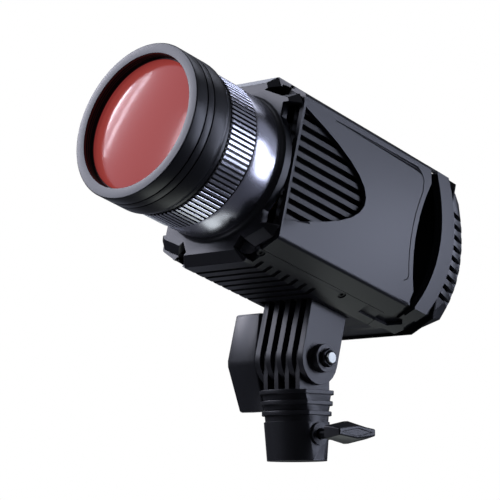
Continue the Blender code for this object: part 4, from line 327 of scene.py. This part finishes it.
def paintRecessShade(piece):
    # painted shade: a face shut in on most sides is painted black as its shade. Rays go out over the half
    # sphere on its normal, a golden angle apart and evenly spaced in height, and each that meets the piece
    # counts by its height
    mesh = bmesh.new()
    mesh.from_mesh(piece.data)
    tree = BVHTree.FromBMesh(mesh)
    mesh.free()
    turn = np.arange(recessShade["rays"]) * pi * (3 - 5 ** 0.5)
    height = 1 - (np.arange(recessShade["rays"]) + 0.5) / recessShade["rays"]
    flat = np.sqrt(1 - height ** 2)
    for face in piece.data.polygons:
        if face.area > recessShade["area"] * mm * mm:
            continue
        tilt = face.normal.to_track_quat("Z", "Y").to_matrix()
        start = face.center + face.normal * recessShade["lift"] * mm
        shut = 0.0
        for spin, up, out in zip(turn, height, flat):
            ray = tilt @ Vector((out * cos(spin), out * sin(spin), up))
            if tree.ray_cast(start, ray, recessShade["reach"] * mm)[0] is not None:
                shut += up
        if shut > recessShade["share"] * height.sum():
            face.material_index = 1


# in mm and degrees: outside is how near an edge lies to the flat side, height how far from the optical axis
bend = {"width": 1.4, "steps": 5, "profile": 0.5, "outside": 0.05, "height": 30.0, "along": 0.9, "angle": 20,
        "sharp": 28}


def softBend(piece, node):
    # the long outer edges between the flat side and the two slopes of a cover, bent to a wide radius
    turn = lensPlace.inverted()
    outside = np.abs(pointsIn(node, lensPlace)[:, 0]).max() - bend["outside"] * mm
    mesh = bmesh.new()
    mesh.from_mesh(piece.data)
    edges = []
    for edge in mesh.edges:
        a, b = [turn @ corner.co for corner in edge.verts]
        along = abs(a.z - b.z) > bend["along"] * (a - b).length
        placed = min(abs(a.x), abs(b.x)) > outside and abs(a.y) > bend["height"] * mm
        if along and placed and edge.calc_face_angle(0) > radians(bend["angle"]):
            edges.append(edge)
    bmesh.ops.bevel(mesh, geom=edges, offset=bend["width"] * mm, segments=bend["steps"],
                    profile=bend["profile"], affect="EDGES", clamp_overlap=False, loop_slide=True)
    mesh.to_mesh(piece.data)
    mesh.free()
    piece.data.shade_smooth()
    piece.data.set_sharp_from_angle(angle=radians(bend["sharp"]))
    print(piece.name, "has", len(edges), "edges bent")


# faces across a rounded edge, degrees from which an edge is sharp, and how much large faces lead the normals
easing = {"steps": 2, "sharp": 28, "weight": 100}


def eased(node, name, edge):
    # every edge sharper than an angle is rounded to a radius in mm, as on a casting, moulding or milled part
    piece = plainCopy(node, name)
    # painted shade: the shut-in faces of the coated castings are painted black
    if slotOf[node] == "body_coat":
        piece.data.materials.append(paintedShadeBlack)
        paintRecessShade(piece)
    piece.data.shade_smooth()
    piece.data.set_sharp_from_angle(angle=radians(easing["sharp"]))
    if node.startswith("side_panel"):
        softBend(piece, node)
    bevel = piece.modifiers.new("easedEdges", "BEVEL")
    bevel.width = edge * mm
    bevel.segments = easing["steps"]
    bevel.limit_method = "ANGLE"
    bevel.angle_limit = radians(easing["sharp"])
    bevel.use_clamp_overlap = True
    bevel.loop_slide = False
    bevel.harden_normals = True
    if node.startswith("side_panel"):
        level = piece.modifiers.new("evenNormals", "WEIGHTED_NORMAL")
        level.keep_sharp = True
        level.weight = easing["weight"]
    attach(piece, nodes[node]["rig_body"])
    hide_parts(node)


# node: the name of its dressed piece, and the radius of its edges in mm
castings = {
    "main_housing": ("housingCasting", 0.35), "front_bezel": ("bezelCasting", 0.45),
    "side_panel_left": ("leftCover", 0.3), "side_panel_right": ("rightCover", 0.3),
    "rear_shell": ("rearCasting", 0.35), "hoop_handle": ("hoopCasting", 0.45),
    "tilt_yoke": ("yokeCasting", 0.3), "stand_receiver": ("receiverCasting", 0.3),
    "tilt_lock_knob": ("knobMoulding", 0.4), "thumb_screw_grip": ("wingMoulding", 0.35),
    "control_panel": ("panelPlate", 0.25), "mains_inlet": ("inletMoulding", 0.2),
    "rocker_switch": ("rockerMoulding", 0.25), "dimmer_dial": ("dialMoulding", 0.2),
    "grip_core": ("gripLining", 0.4),
}
for node, (name, edge) in castings.items():
    eased(node, name, edge)
print("castings and mouldings eased:", len(castings))


# Vent grilles, their black sheets and wall of painted shade, and receiver's rings

def headPoint(x, t, y):
    # a point in mm of the head: x across, t forward, y up from the optical axis
    return lensPlace @ Vector((x * mm, y * mm, t * mm))


# the six sides of a block, by the places of their corners
blockSides = ((0, 1, 2, 3), (7, 6, 5, 4), (0, 4, 5, 1), (1, 5, 6, 2), (2, 6, 7, 3), (3, 7, 4, 0))


def prisms(name, blocks, material, body):
    # every block is eight corners, four of one side and the matching four of the other, all in one piece
    points, faces = [], []
    for block in blocks:
        first = len(points)
        points += [headPoint(*corner) for corner in block]
        faces += [[first + corner for corner in side] for side in blockSides]
    mesh = bpy.data.meshes.new(name)
    mesh.from_pydata(points, [], faces)
    piece = bpy.data.objects.new(name, mesh)
    bpy.context.scene.collection.objects.link(piece)
    return dressed(piece, material, body)


# in mm: pitch of the bars and gap between them, edge radius, distance of the black sheet of painted shade
# behind them and its thickness, clearance to the front wall, and the thinnest bar; rim, level and end pick
# the window's points
grille = {"pitch": 6.1, "gap": 3.0, "bars": 5, "edge": 0.2, "shadeBacking": 2.6, "sheet": 0.4, "clearance": 0.8,
          "thinnest": 0.5, "edgeSteps": 2, "rim": 0.1, "level": 0.011, "end": 60}


def windowCurve(points, low, high):
    # (y, t) along the window's rear edge from bottom to top: from each point on to the one at the least slope
    rim = points[(points[:, 1] < low[1] + grille["rim"]) | (points[:, 1] > high[1] - grille["rim"])]
    heights = np.unique(points[:, 1].round(2))
    rears = [points[np.abs(points[:, 1] - y) < grille["level"]][:, 2].min() for y in heights]
    edge = [(y, t) for y, t in zip(heights, rears) if t < grille["end"]]
    edge = [(low[1], rim[:, 2].min())] + edge + [(high[1], rim[:, 2].min())]
    keep = [0]
    while keep[-1] < len(edge) - 1:
        y, t = edge[keep[-1]]
        later = range(keep[-1] + 1, len(edge))
        keep.append(min(later, key=lambda n: ((edge[n][1] - t) / (edge[n][0] - y), -n)))
    return np.array([edge[n] for n in keep])


def makeGrille(node, name, shadeBacking):
    # bars that run from the front wall back to the curve of the window, with a black sheet behind them that
    # paints the shade between the bars
    points = pointsIn(node, lensPlace) / mm
    low, high = points.min(0), points.max(0)
    outer = high[0] if high[0] > -low[0] else low[0]
    inward = -np.sign(outer)
    inner = outer + inward * (high[0] - low[0])
    curve = windowCurve(points, low, high)
    front = high[2] - grille["clearance"]
    blocks = []
    for bar in range(-grille["bars"] - 1, grille["bars"] + 1):
        lower = max(bar * grille["pitch"] + grille["gap"] / 2, low[1])
        upper = min((bar + 1) * grille["pitch"] - grille["gap"] / 2, high[1])
        if upper - lower < grille["thinnest"]:
            continue
        rearLow, rearHigh = np.interp((lower, upper), curve[:, 0], curve[:, 1])
        ring = ((front, lower), (front, upper), (rearHigh, upper), (rearLow, lower))
        blocks.append([(inner, *corner) for corner in ring] + [(outer, *corner) for corner in ring])
    piece = prisms(name, blocks, ownMaterials[slotOf[node]], "head")
    bevel = piece.modifiers.new("easedEdges", "BEVEL")
    bevel.width = grille["edge"] * mm
    bevel.segments = grille["edgeSteps"]
    bevel.harden_normals = True
    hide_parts(node)
    back = inner + inward * grille["shadeBacking"]
    rear = curve[:, 1].min()
    sheet = [(back, front, low[1]), (back, front, high[1]), (back, rear, high[1]), (back, rear, low[1])]
    near = [(back - inward * grille["sheet"], *corner[1:]) for corner in sheet]
    prisms(shadeBacking, [sheet + near], paintedShadeBlack, "head")


# painted shade: a black wall at the back of the grip gap, where the inside of the shell lies in shade; in mm:
# half width and half height of its middle and of its two ends, and how far forward its two faces lie
gripShadeWall = {"middle": (28.0, 49.4), "ends": (42.5, 41.0), "front": -58.8, "rear": -59.8}


def makeGripShadeWall():
    # a middle block, and a block at each side that tapers with the shell
    (middle, tall), (end, low) = gripShadeWall["middle"], gripShadeWall["ends"]
    outlines = (((-middle, -tall), (middle, -tall), (middle, tall), (-middle, tall)),
                ((middle, -tall), (end, -low), (end, low), (middle, tall)),
                ((-end, -low), (-middle, -tall), (-middle, tall), (-end, low)))
    blocks = [[(x, t, y) for t in (gripShadeWall["front"], gripShadeWall["rear"]) for x, y in outline]
              for outline in outlines]
    prisms("gripShadeWall", blocks, paintedShadeBlack, "head")


# in mm: radius and low end of each ring, and for all of them the height, bore, half width across the flats,
# how proud they stand and their edge
receiverRings = {"bands": ((19.3, 24.9), (20.0, 30.6), (20.6, 36.5)), "height": 2.3, "inner": 14.8,
                 "flat": 17.3, "proud": 0.06, "edge": 0.3, "leastCos": 0.01, "segments": 192}


def makeReceiverRings():
    # r(v) = the lesser of the ring's radius and flat / |cos v|, so each ring follows the flats of the boss
    place = placeOn(Vector((0, 0, 0)), (0, 0, 1), (1, 0, 0))
    flat, inner, edge = receiverRings["flat"] * mm, receiverRings["inner"] * mm, receiverRings["edge"] * mm
    for number, (radius, low) in enumerate(receiverRings["bands"], 1):
        outer = (radius + receiverRings["proud"]) * mm
        low, high = low * mm, (low + receiverRings["height"]) * mm
        outline = [(inner, high, 0), (outer, high, edge), (outer, low, edge), (inner, low, 0)]

        def acrossFlats(r, v, z):
            cosine = np.abs(np.cos(v)).clip(receiverRings["leastCos"])
            return np.minimum(r, (flat - (outer - r).clip(0, edge)) / cosine)

        profile = roundedProfile(outline)
        ring = turned(f"receiverRing{number}", profile, place, receiverRings["segments"], acrossFlats)
        dressed(ring, bracketCoat, "stand")


makeReceiverRings()
# painted shade: the linings are black sheets and a black wall put where there is only shade
makeGrille("vent_grille_left", "leftGrille", "leftGrilleShadeSheet")
makeGrille("vent_grille_right", "rightGrille", "rightGrilleShadeSheet")
makeGripShadeWall()
print("receiver's rings, grilles and linings made")


# Lens barrel, rings and filter

# in mm, where grooves and threads are placed by their distance behind the lip
barrel = {"lip": 0.6, "edge": 0.25, "rounding": 5.4, "tailStep": 2.7, "tailLength": 2.4, "tailGap": 0.3,
          "tailSteps": 14, "grooves": (8.4, 13.5), "grooveWidth": 0.8, "grooveDepth": 0.6, "grooveEdge": 0.12,
          "mouthWall": 5.9, "mouthDepth": 12.0, "sleeveWall": 1.8, "threads": 4, "threadPitch": 1.3,
          "threadDepth": 0.55, "threadStart": 1.6, "segments": 288, "sharp": 40}


def makeBarrel():
    # turned drum: (r, z) outline with a rounded tail, two grooves, a rounded lip and a threaded mouth
    low, high, bore, radius = spanIn("lens_barrel", lensPlace)
    front = high[2]
    tail = frontOf("focus_ring") + barrel["tailGap"] * mm
    tailRadius = radius - barrel["tailStep"] * mm
    tailEnd = tail + barrel["tailLength"] * mm
    sleeve = bore + barrel["sleeveWall"] * mm
    mouth = radius - barrel["mouthWall"] * mm
    floor = front - barrel["mouthDepth"] * mm
    edge, grooveEdge = barrel["edge"] * mm, barrel["grooveEdge"] * mm
    outline = [(mouth, front, edge), (radius, front, barrel["lip"] * mm)]
    for drop in barrel["grooves"]:
        upper = front - (drop - barrel["grooveWidth"] / 2) * mm
        lower = front - (drop + barrel["grooveWidth"] / 2) * mm
        bottom = radius - barrel["grooveDepth"] * mm
        outline += [(radius, upper, grooveEdge), (bottom, upper, 0), (bottom, lower, 0),
                    (radius, lower, grooveEdge)]
    for turn in np.linspace(0, pi / 2, barrel["tailSteps"]):
        outline.append((tailRadius + (radius - tailRadius) * cos(turn),
                        tailEnd + barrel["rounding"] * mm * (1 - sin(turn)), 0))
    outline += [(tailRadius, tail, edge), (sleeve, tail, 0), (sleeve, low[2], edge), (bore, low[2], edge),
                (bore, floor, edge), (mouth, floor, 0)]
    root = mouth + barrel["threadDepth"] * mm
    quarter = barrel["threadPitch"] / 4 * mm
    for turn in reversed(range(barrel["threads"])):
        crest = front - (barrel["threadStart"] + turn * barrel["threadPitch"]) * mm
        outline += [(mouth, crest - 3 * quarter, 0), (root, crest - 2 * quarter, 0),
                    (root, crest - quarter, 0), (mouth, crest, 0)]
    piece = turned("barrelDrum", roundedProfile(outline), lensPlace, barrel["segments"])
    dressed(piece, blackAnodised, "lens_barrel", "lens_barrel", slot="black_anodised", sharp=barrel["sharp"])


# in mm, but for the dome's first angle in radians and the sharp angle in degrees
filterDisc = {"seat": 6.6, "dome": 3.0, "clearance": 0.5, "chamfer": 0.3, "rings": 26, "segments": 192,
              "firstAngle": 0.0005, "pole": 0.02, "steps": 3, "sharp": 50}


def makeFilter():
    # spherical cap: r = R sin t, z = rim + rise - R + R cos t, over a flat disc with a small chamfer
    low, _, _, radius = spanIn("red_filter", lensPlace)
    seat = frontOf("lens_barrel") - filterDisc["seat"] * mm
    rise = filterDisc["dome"] * mm
    inner = radius - filterDisc["clearance"] * mm
    sphere = (inner ** 2 + rise ** 2) / (2 * rise)
    turns = np.linspace(filterDisc["firstAngle"], atan2(inner, sphere - rise), filterDisc["rings"])
    cap = [(sphere * sin(t), seat + rise - sphere + sphere * cos(t), 0) for t in turns]
    cut = filterDisc["chamfer"] * mm
    rim = [(radius, seat - cut, 0), (radius, low[2], cut), (filterDisc["pole"] * mm, low[2], 0)]
    profile = roundedProfile(cap + rim, filterDisc["steps"])
    piece = turned("filterDisc", profile, lensPlace, filterDisc["segments"])
    dressed(piece, redAcrylicPaintedGlow, "lens_barrel", "red_filter", slot="red_filter", sharp=filterDisc["sharp"])


retainingRing = {"wall": 0.7, "height": 0.8, "gap": 0.1, "edge": 0.2, "segments": 288}


def makeRetainingRing():
    # turned spring ring that sits on the disc's shoulder: (r, z) are its four rounded corners
    most = spanIn("filter_retaining_ring", lensPlace)[3]
    low = frontOf("lens_barrel") - (filterDisc["seat"] - retainingRing["gap"]) * mm
    high = low + retainingRing["height"] * mm
    least = most - retainingRing["wall"] * mm
    edge = retainingRing["edge"] * mm
    outline = [(least, high, edge), (most, high, edge), (most, low, edge), (least, low, edge)]
    piece = turned("filterRing", roundedProfile(outline), lensPlace, retainingRing["segments"])
    dressed(piece, blackAnodised, "lens_barrel", "filter_retaining_ring", slot="black_anodised")


focusRing = {"ribs": 92, "depth": 1.1, "edge": 0.2, "endCut": 0.45, "endShare": 0.55, "burnished": 0.3,
             "sharp": 20}
# share of a rib's pitch, share of its height: flat crest with eased edges, square flanks, flat valley
ribShares = ((0.0, 0.84), (0.05, 1.0), (0.5, 1.0), (0.55, 0.84), (0.585, 0.0), (0.77, 0.0), (0.965, 0.0))


def makeFocusRing():
    # P(u, v) = (r cos v, r sin v, z), r = valley + depth * rib(v) * end(z), with square ribs round the ring
    low, high, bore, crest = spanIn("focus_ring", lensPlace)
    edge, cut = focusRing["edge"] * mm, focusRing["endCut"] * mm
    depth = focusRing["depth"] * mm
    valley = crest - depth
    shares = np.array([share for share, height in ribShares])
    heights = np.array([height for share, height in ribShares])
    ribs = np.arange(focusRing["ribs"])
    v = ((ribs[:, None] + shares[None, :]) / focusRing["ribs"] * tau).ravel()
    rib = np.tile(heights, focusRing["ribs"])
    slope = focusRing["endShare"]
    ends = [(bore, low[2], 0), (valley - edge, low[2], 0), (valley, low[2] + edge, 0),
            (valley, low[2] + 2 * edge, slope), (valley, low[2] + 2 * edge + cut, 1),
            (valley, high[2] - 2 * edge - cut, 1), (valley, high[2] - 2 * edge, slope),
            (valley, high[2] - edge, 0), (valley - edge, high[2], 0), (bore, high[2], 0)]
    r = np.array([r + depth * share * rib for r, z, share in ends])
    z = np.array([np.full_like(v, z) for r, z, share in ends])
    points = np.stack([r * np.cos(v), r * np.sin(v), z], axis=-1)
    matrix = np.array(lensPlace)
    piece = surface("focusGrip", points @ matrix[:3, :3].T + matrix[:3, 3])
    sharp = focusRing["sharp"]
    dressed(piece, knurlAnodised, "focus_ring", "focus_ring", slot="knurl_anodised", sharp=sharp)
    # faces near the crest keep the bright metal, all others are black
    piece.data.materials.append(blackAnodised)
    turn = np.array(lensPlace.inverted())
    centres = np.array([face.center for face in piece.data.polygons]) @ turn[:3, :3].T + turn[:3, 3]
    burnished = np.hypot(centres[:, 0], centres[:, 1]) > crest - focusRing["burnished"] * mm
    piece.data.polygons.foreach_set("material_index", np.where(burnished, 0, 1))


polishedBand = {"edge": 0.3, "crown": 0.5, "taper": 0.6, "steps": 10, "segments": 288, "sharp": 30}


def makePolishedRing():
    # r(z) = rear radius + taper z + crown (1 - (2 z - 1)^2), a faintly barrelled band
    low, high, bore, most = spanIn("polished_ring", lensPlace)
    share = np.linspace(0, 1, polishedBand["steps"])
    edge, crown, taper = [polishedBand[size] * mm for size in ("edge", "crown", "taper")]
    radius = most - crown - taper / 2 + taper * share + crown * (1 - (2 * share - 1) ** 2)
    radius *= most / radius.max()
    outline = [(bore, low[2], edge), (radius[0], low[2], edge)]
    outline += [(r, low[2] + (high[2] - low[2]) * s, 0) for r, s in zip(radius[1:-1], share[1:-1])]
    outline += [(radius[-1], high[2], edge), (bore, high[2], edge)]
    piece = turned("polishedBand", roundedProfile(outline), lensPlace, polishedBand["segments"])
    dressed(piece, smokedPolish, "head", "polished_ring", slot="polished_metal",
            sharp=polishedBand["sharp"])


makeBarrel()
makeFilter()
makeRetainingRing()
makeFocusRing()
makePolishedRing()
print("barrel, filter and rings turned")


# Floor, lights and camera

# the floor's size in metres, and the colours of floor and air as the camera sees them and as they light
studio = {
    "floorRadius": 6.0, "floorPole": 0.001, "floorHeight": -0.42, "floorRings": 8, "floorSegments": 96,
    "floorColour": "#e4e4e6", "floorShade": "#4a4a4c", "floorRoughness": 0.8,
    "background": "#ffffff", "air": "#ffffff", "ambient": 0.035,
}


def makeFloor():
    # a flat disc: P(u, v) = (r(u) cos v, r(u) sin v, height)
    radius = np.linspace(studio["floorPole"], studio["floorRadius"], studio["floorRings"])
    angle = np.linspace(0, tau, studio["floorSegments"], endpoint=False)
    r, v = np.meshgrid(radius, angle, indexing="ij")
    grid = np.stack([r * np.cos(v), r * np.sin(v), np.full_like(r, studio["floorHeight"])], axis=-1)
    floor = surface("floor", grid, closedU=False)
    # matte board: seen evenly pale like a swept studio background, and dim, so it hardly lights the lamp
    board = finish("paleFloor", studio["floorShade"], studio["floorRoughness"])
    tree = board.node_tree
    seen = addNode(tree, "ShaderNodeEmission", [("Color", linear(studio["floorColour"])), ("Strength", 1.0)])
    path = addNode(tree, "ShaderNodeLightPath")
    both = addNode(tree, "ShaderNodeMixShader", (), [("Fac", path.outputs["Is Camera Ray"])])
    tree.links.new(both.inputs[1], tree.nodes["Principled BSDF"].outputs["BSDF"])
    tree.links.new(both.inputs[2], seen.outputs["Emission"])
    tree.links.new(tree.nodes["Material Output"].inputs["Surface"], both.outputs["Shader"])
    floor.data.materials.append(board)


def makeWorld():
    # still air: white where the camera looks past the lamp, and a weak even light otherwise
    world = bpy.data.worlds.new("studioAir")
    world.use_nodes = True
    tree = world.node_tree
    back = tree.nodes["Background"]
    back.inputs["Color"].default_value = linear(studio["air"])
    back.inputs["Strength"].default_value = studio["ambient"]
    seen = addNode(tree, "ShaderNodeBackground", [("Color", linear(studio["background"])), ("Strength", 1.0)])
    path = addNode(tree, "ShaderNodeLightPath")
    both = addNode(tree, "ShaderNodeMixShader", (), [("Fac", path.outputs["Is Camera Ray"])])
    tree.links.new(both.inputs[1], back.outputs["Background"])
    tree.links.new(both.inputs[2], seen.outputs["Background"])
    tree.links.new(tree.nodes["World Output"].inputs["Surface"], both.outputs["Shader"])
    bpy.context.scene.world = world


def direction(azimuth, elevation):
    # from the lamp towards a light: (sin a cos e, -cos a cos e, sin e)
    a, e = radians(azimuth), radians(elevation)
    return Vector((sin(a) * cos(e), -cos(a) * cos(e), sin(e)))


def softbox(name, aim, azimuth, elevation, distance, width, height, watts, colour):
    # an area light that faces its aim point, unseen by the camera
    light = bpy.data.lights.new(name, "AREA")
    light.shape = "RECTANGLE"
    light.size, light.size_y = width, height
    light.energy = watts
    light.color = linear(colour)[:3]
    lamp = bpy.data.objects.new(name, light)
    away = direction(azimuth, elevation)
    lamp.location = pivot + Vector(aim) * mm + away * distance
    lamp.rotation_euler = away.to_track_quat("Z", "Y").to_euler()
    lamp.visible_camera = False
    bpy.context.scene.collection.objects.link(lamp)


# the photograph's own view: degrees, lens and sensor in mm, clip in metres, eye in mm from the pivot
photoView = {"heading": 43.589, "pitch": 6.779, "roll": 0.32, "lens": 178.34, "sensor": 36, "clip": 20,
             "eye": (928.777, -1012.498, -101.525)}


def makeCamera():
    # heading, upward pitch and roll turn the level view, then the eye is put in its place
    heading, pitch, roll = [radians(photoView[angle]) for angle in ("heading", "pitch", "roll")]
    away = Vector((-sin(heading), cos(heading), 0))
    right = Vector((cos(heading), sin(heading), 0))
    look = cos(pitch) * away + sin(pitch) * Vector((0, 0, 1))
    up = cos(pitch) * Vector((0, 0, 1)) - sin(pitch) * away
    camera = bpy.data.cameras.new("camera")
    camera.lens = photoView["lens"]
    camera.sensor_width = photoView["sensor"]
    camera.clip_end = photoView["clip"]
    holder = bpy.data.objects.new("camera", camera)
    axes = (cos(roll) * right - sin(roll) * up, sin(roll) * right + cos(roll) * up, -look)
    matrix = Matrix(axes).transposed().to_4x4()
    matrix.translation = pivot + Vector(photoView["eye"]) * mm
    holder.matrix_world = matrix
    bpy.context.scene.collection.objects.link(holder)
    bpy.context.scene.camera = holder


makeFloor()
makeWorld()
makeCamera()
# aim in mm from the pivot, azimuth and elevation in degrees, distance, width and height in metres, watts
softboxes = {
    "backRight": ((20, -60, 100), 133, -1, 1.2, 0.24, 0.8, 4.6, "#dde4ff"),
    "backHalo": ((20, -60, 100), 150, 27, 1.2, 0.5, 0.4, 0.2, "#dde4ff"),
    "backFar": ((20, 60, 80), 164, 6, 1.2, 0.3, 0.4, 1.8, "#dde4ff"),
    "coverGlow": ((44, 32, 66), 139.6, 7.6, 0.24, 0.06, 0.06, 0.06, "#dde4ff"),
    "frontHigh": ((0, -20, 60), -48, 30, 1.6, 1.1, 1.0, 9, "#dde4ff"),
    "frontStrip": ((0, -140, 190), -71.5, 27, 1.6, 0.035, 0.62, 5.6, "#f4f2ff"),
    "innerStrip": ((0, -140, 190), -66, 28, 1.6, 0.022, 0.5, 2.4, "#f4f2ff"),
    "rimStrip": ((0, -140, 190), -36, 24, 1.6, 0.07, 0.5, 3.2, "#f4f2ff"),
    "frontRight": ((0, -20, 60), 60, 40, 1.8, 1.0, 1.0, 1, "#dde4ff"),
    "backLow": ((0, -20, 60), -155, -63, 0.45, 0.24, 0.24, 0.21, "#eef6f2"),
    "fillBack": ((0, 40, 80), -160, 62, 1.6, 1.2, 1.2, 7, "#e6ebff"),
    "fillLeft": ((-40, 20, 80), -112, 32, 1.8, 1.0, 1.0, 10, "#e6ebff"),
    "frontLow": ((0, -60, 60), -25, -58, 0.42, 0.2, 0.2, 0.12, "#e8ecff"),
    "leftLow": ((0, -20, 60), -128, -15, 1.4, 0.4, 0.9, 0.3, "#dde4ff"),
}
for name, facts in softboxes.items():
    softbox(name, *facts)
bpy.context.scene.view_settings.view_transform = "Standard"
print("studio made")
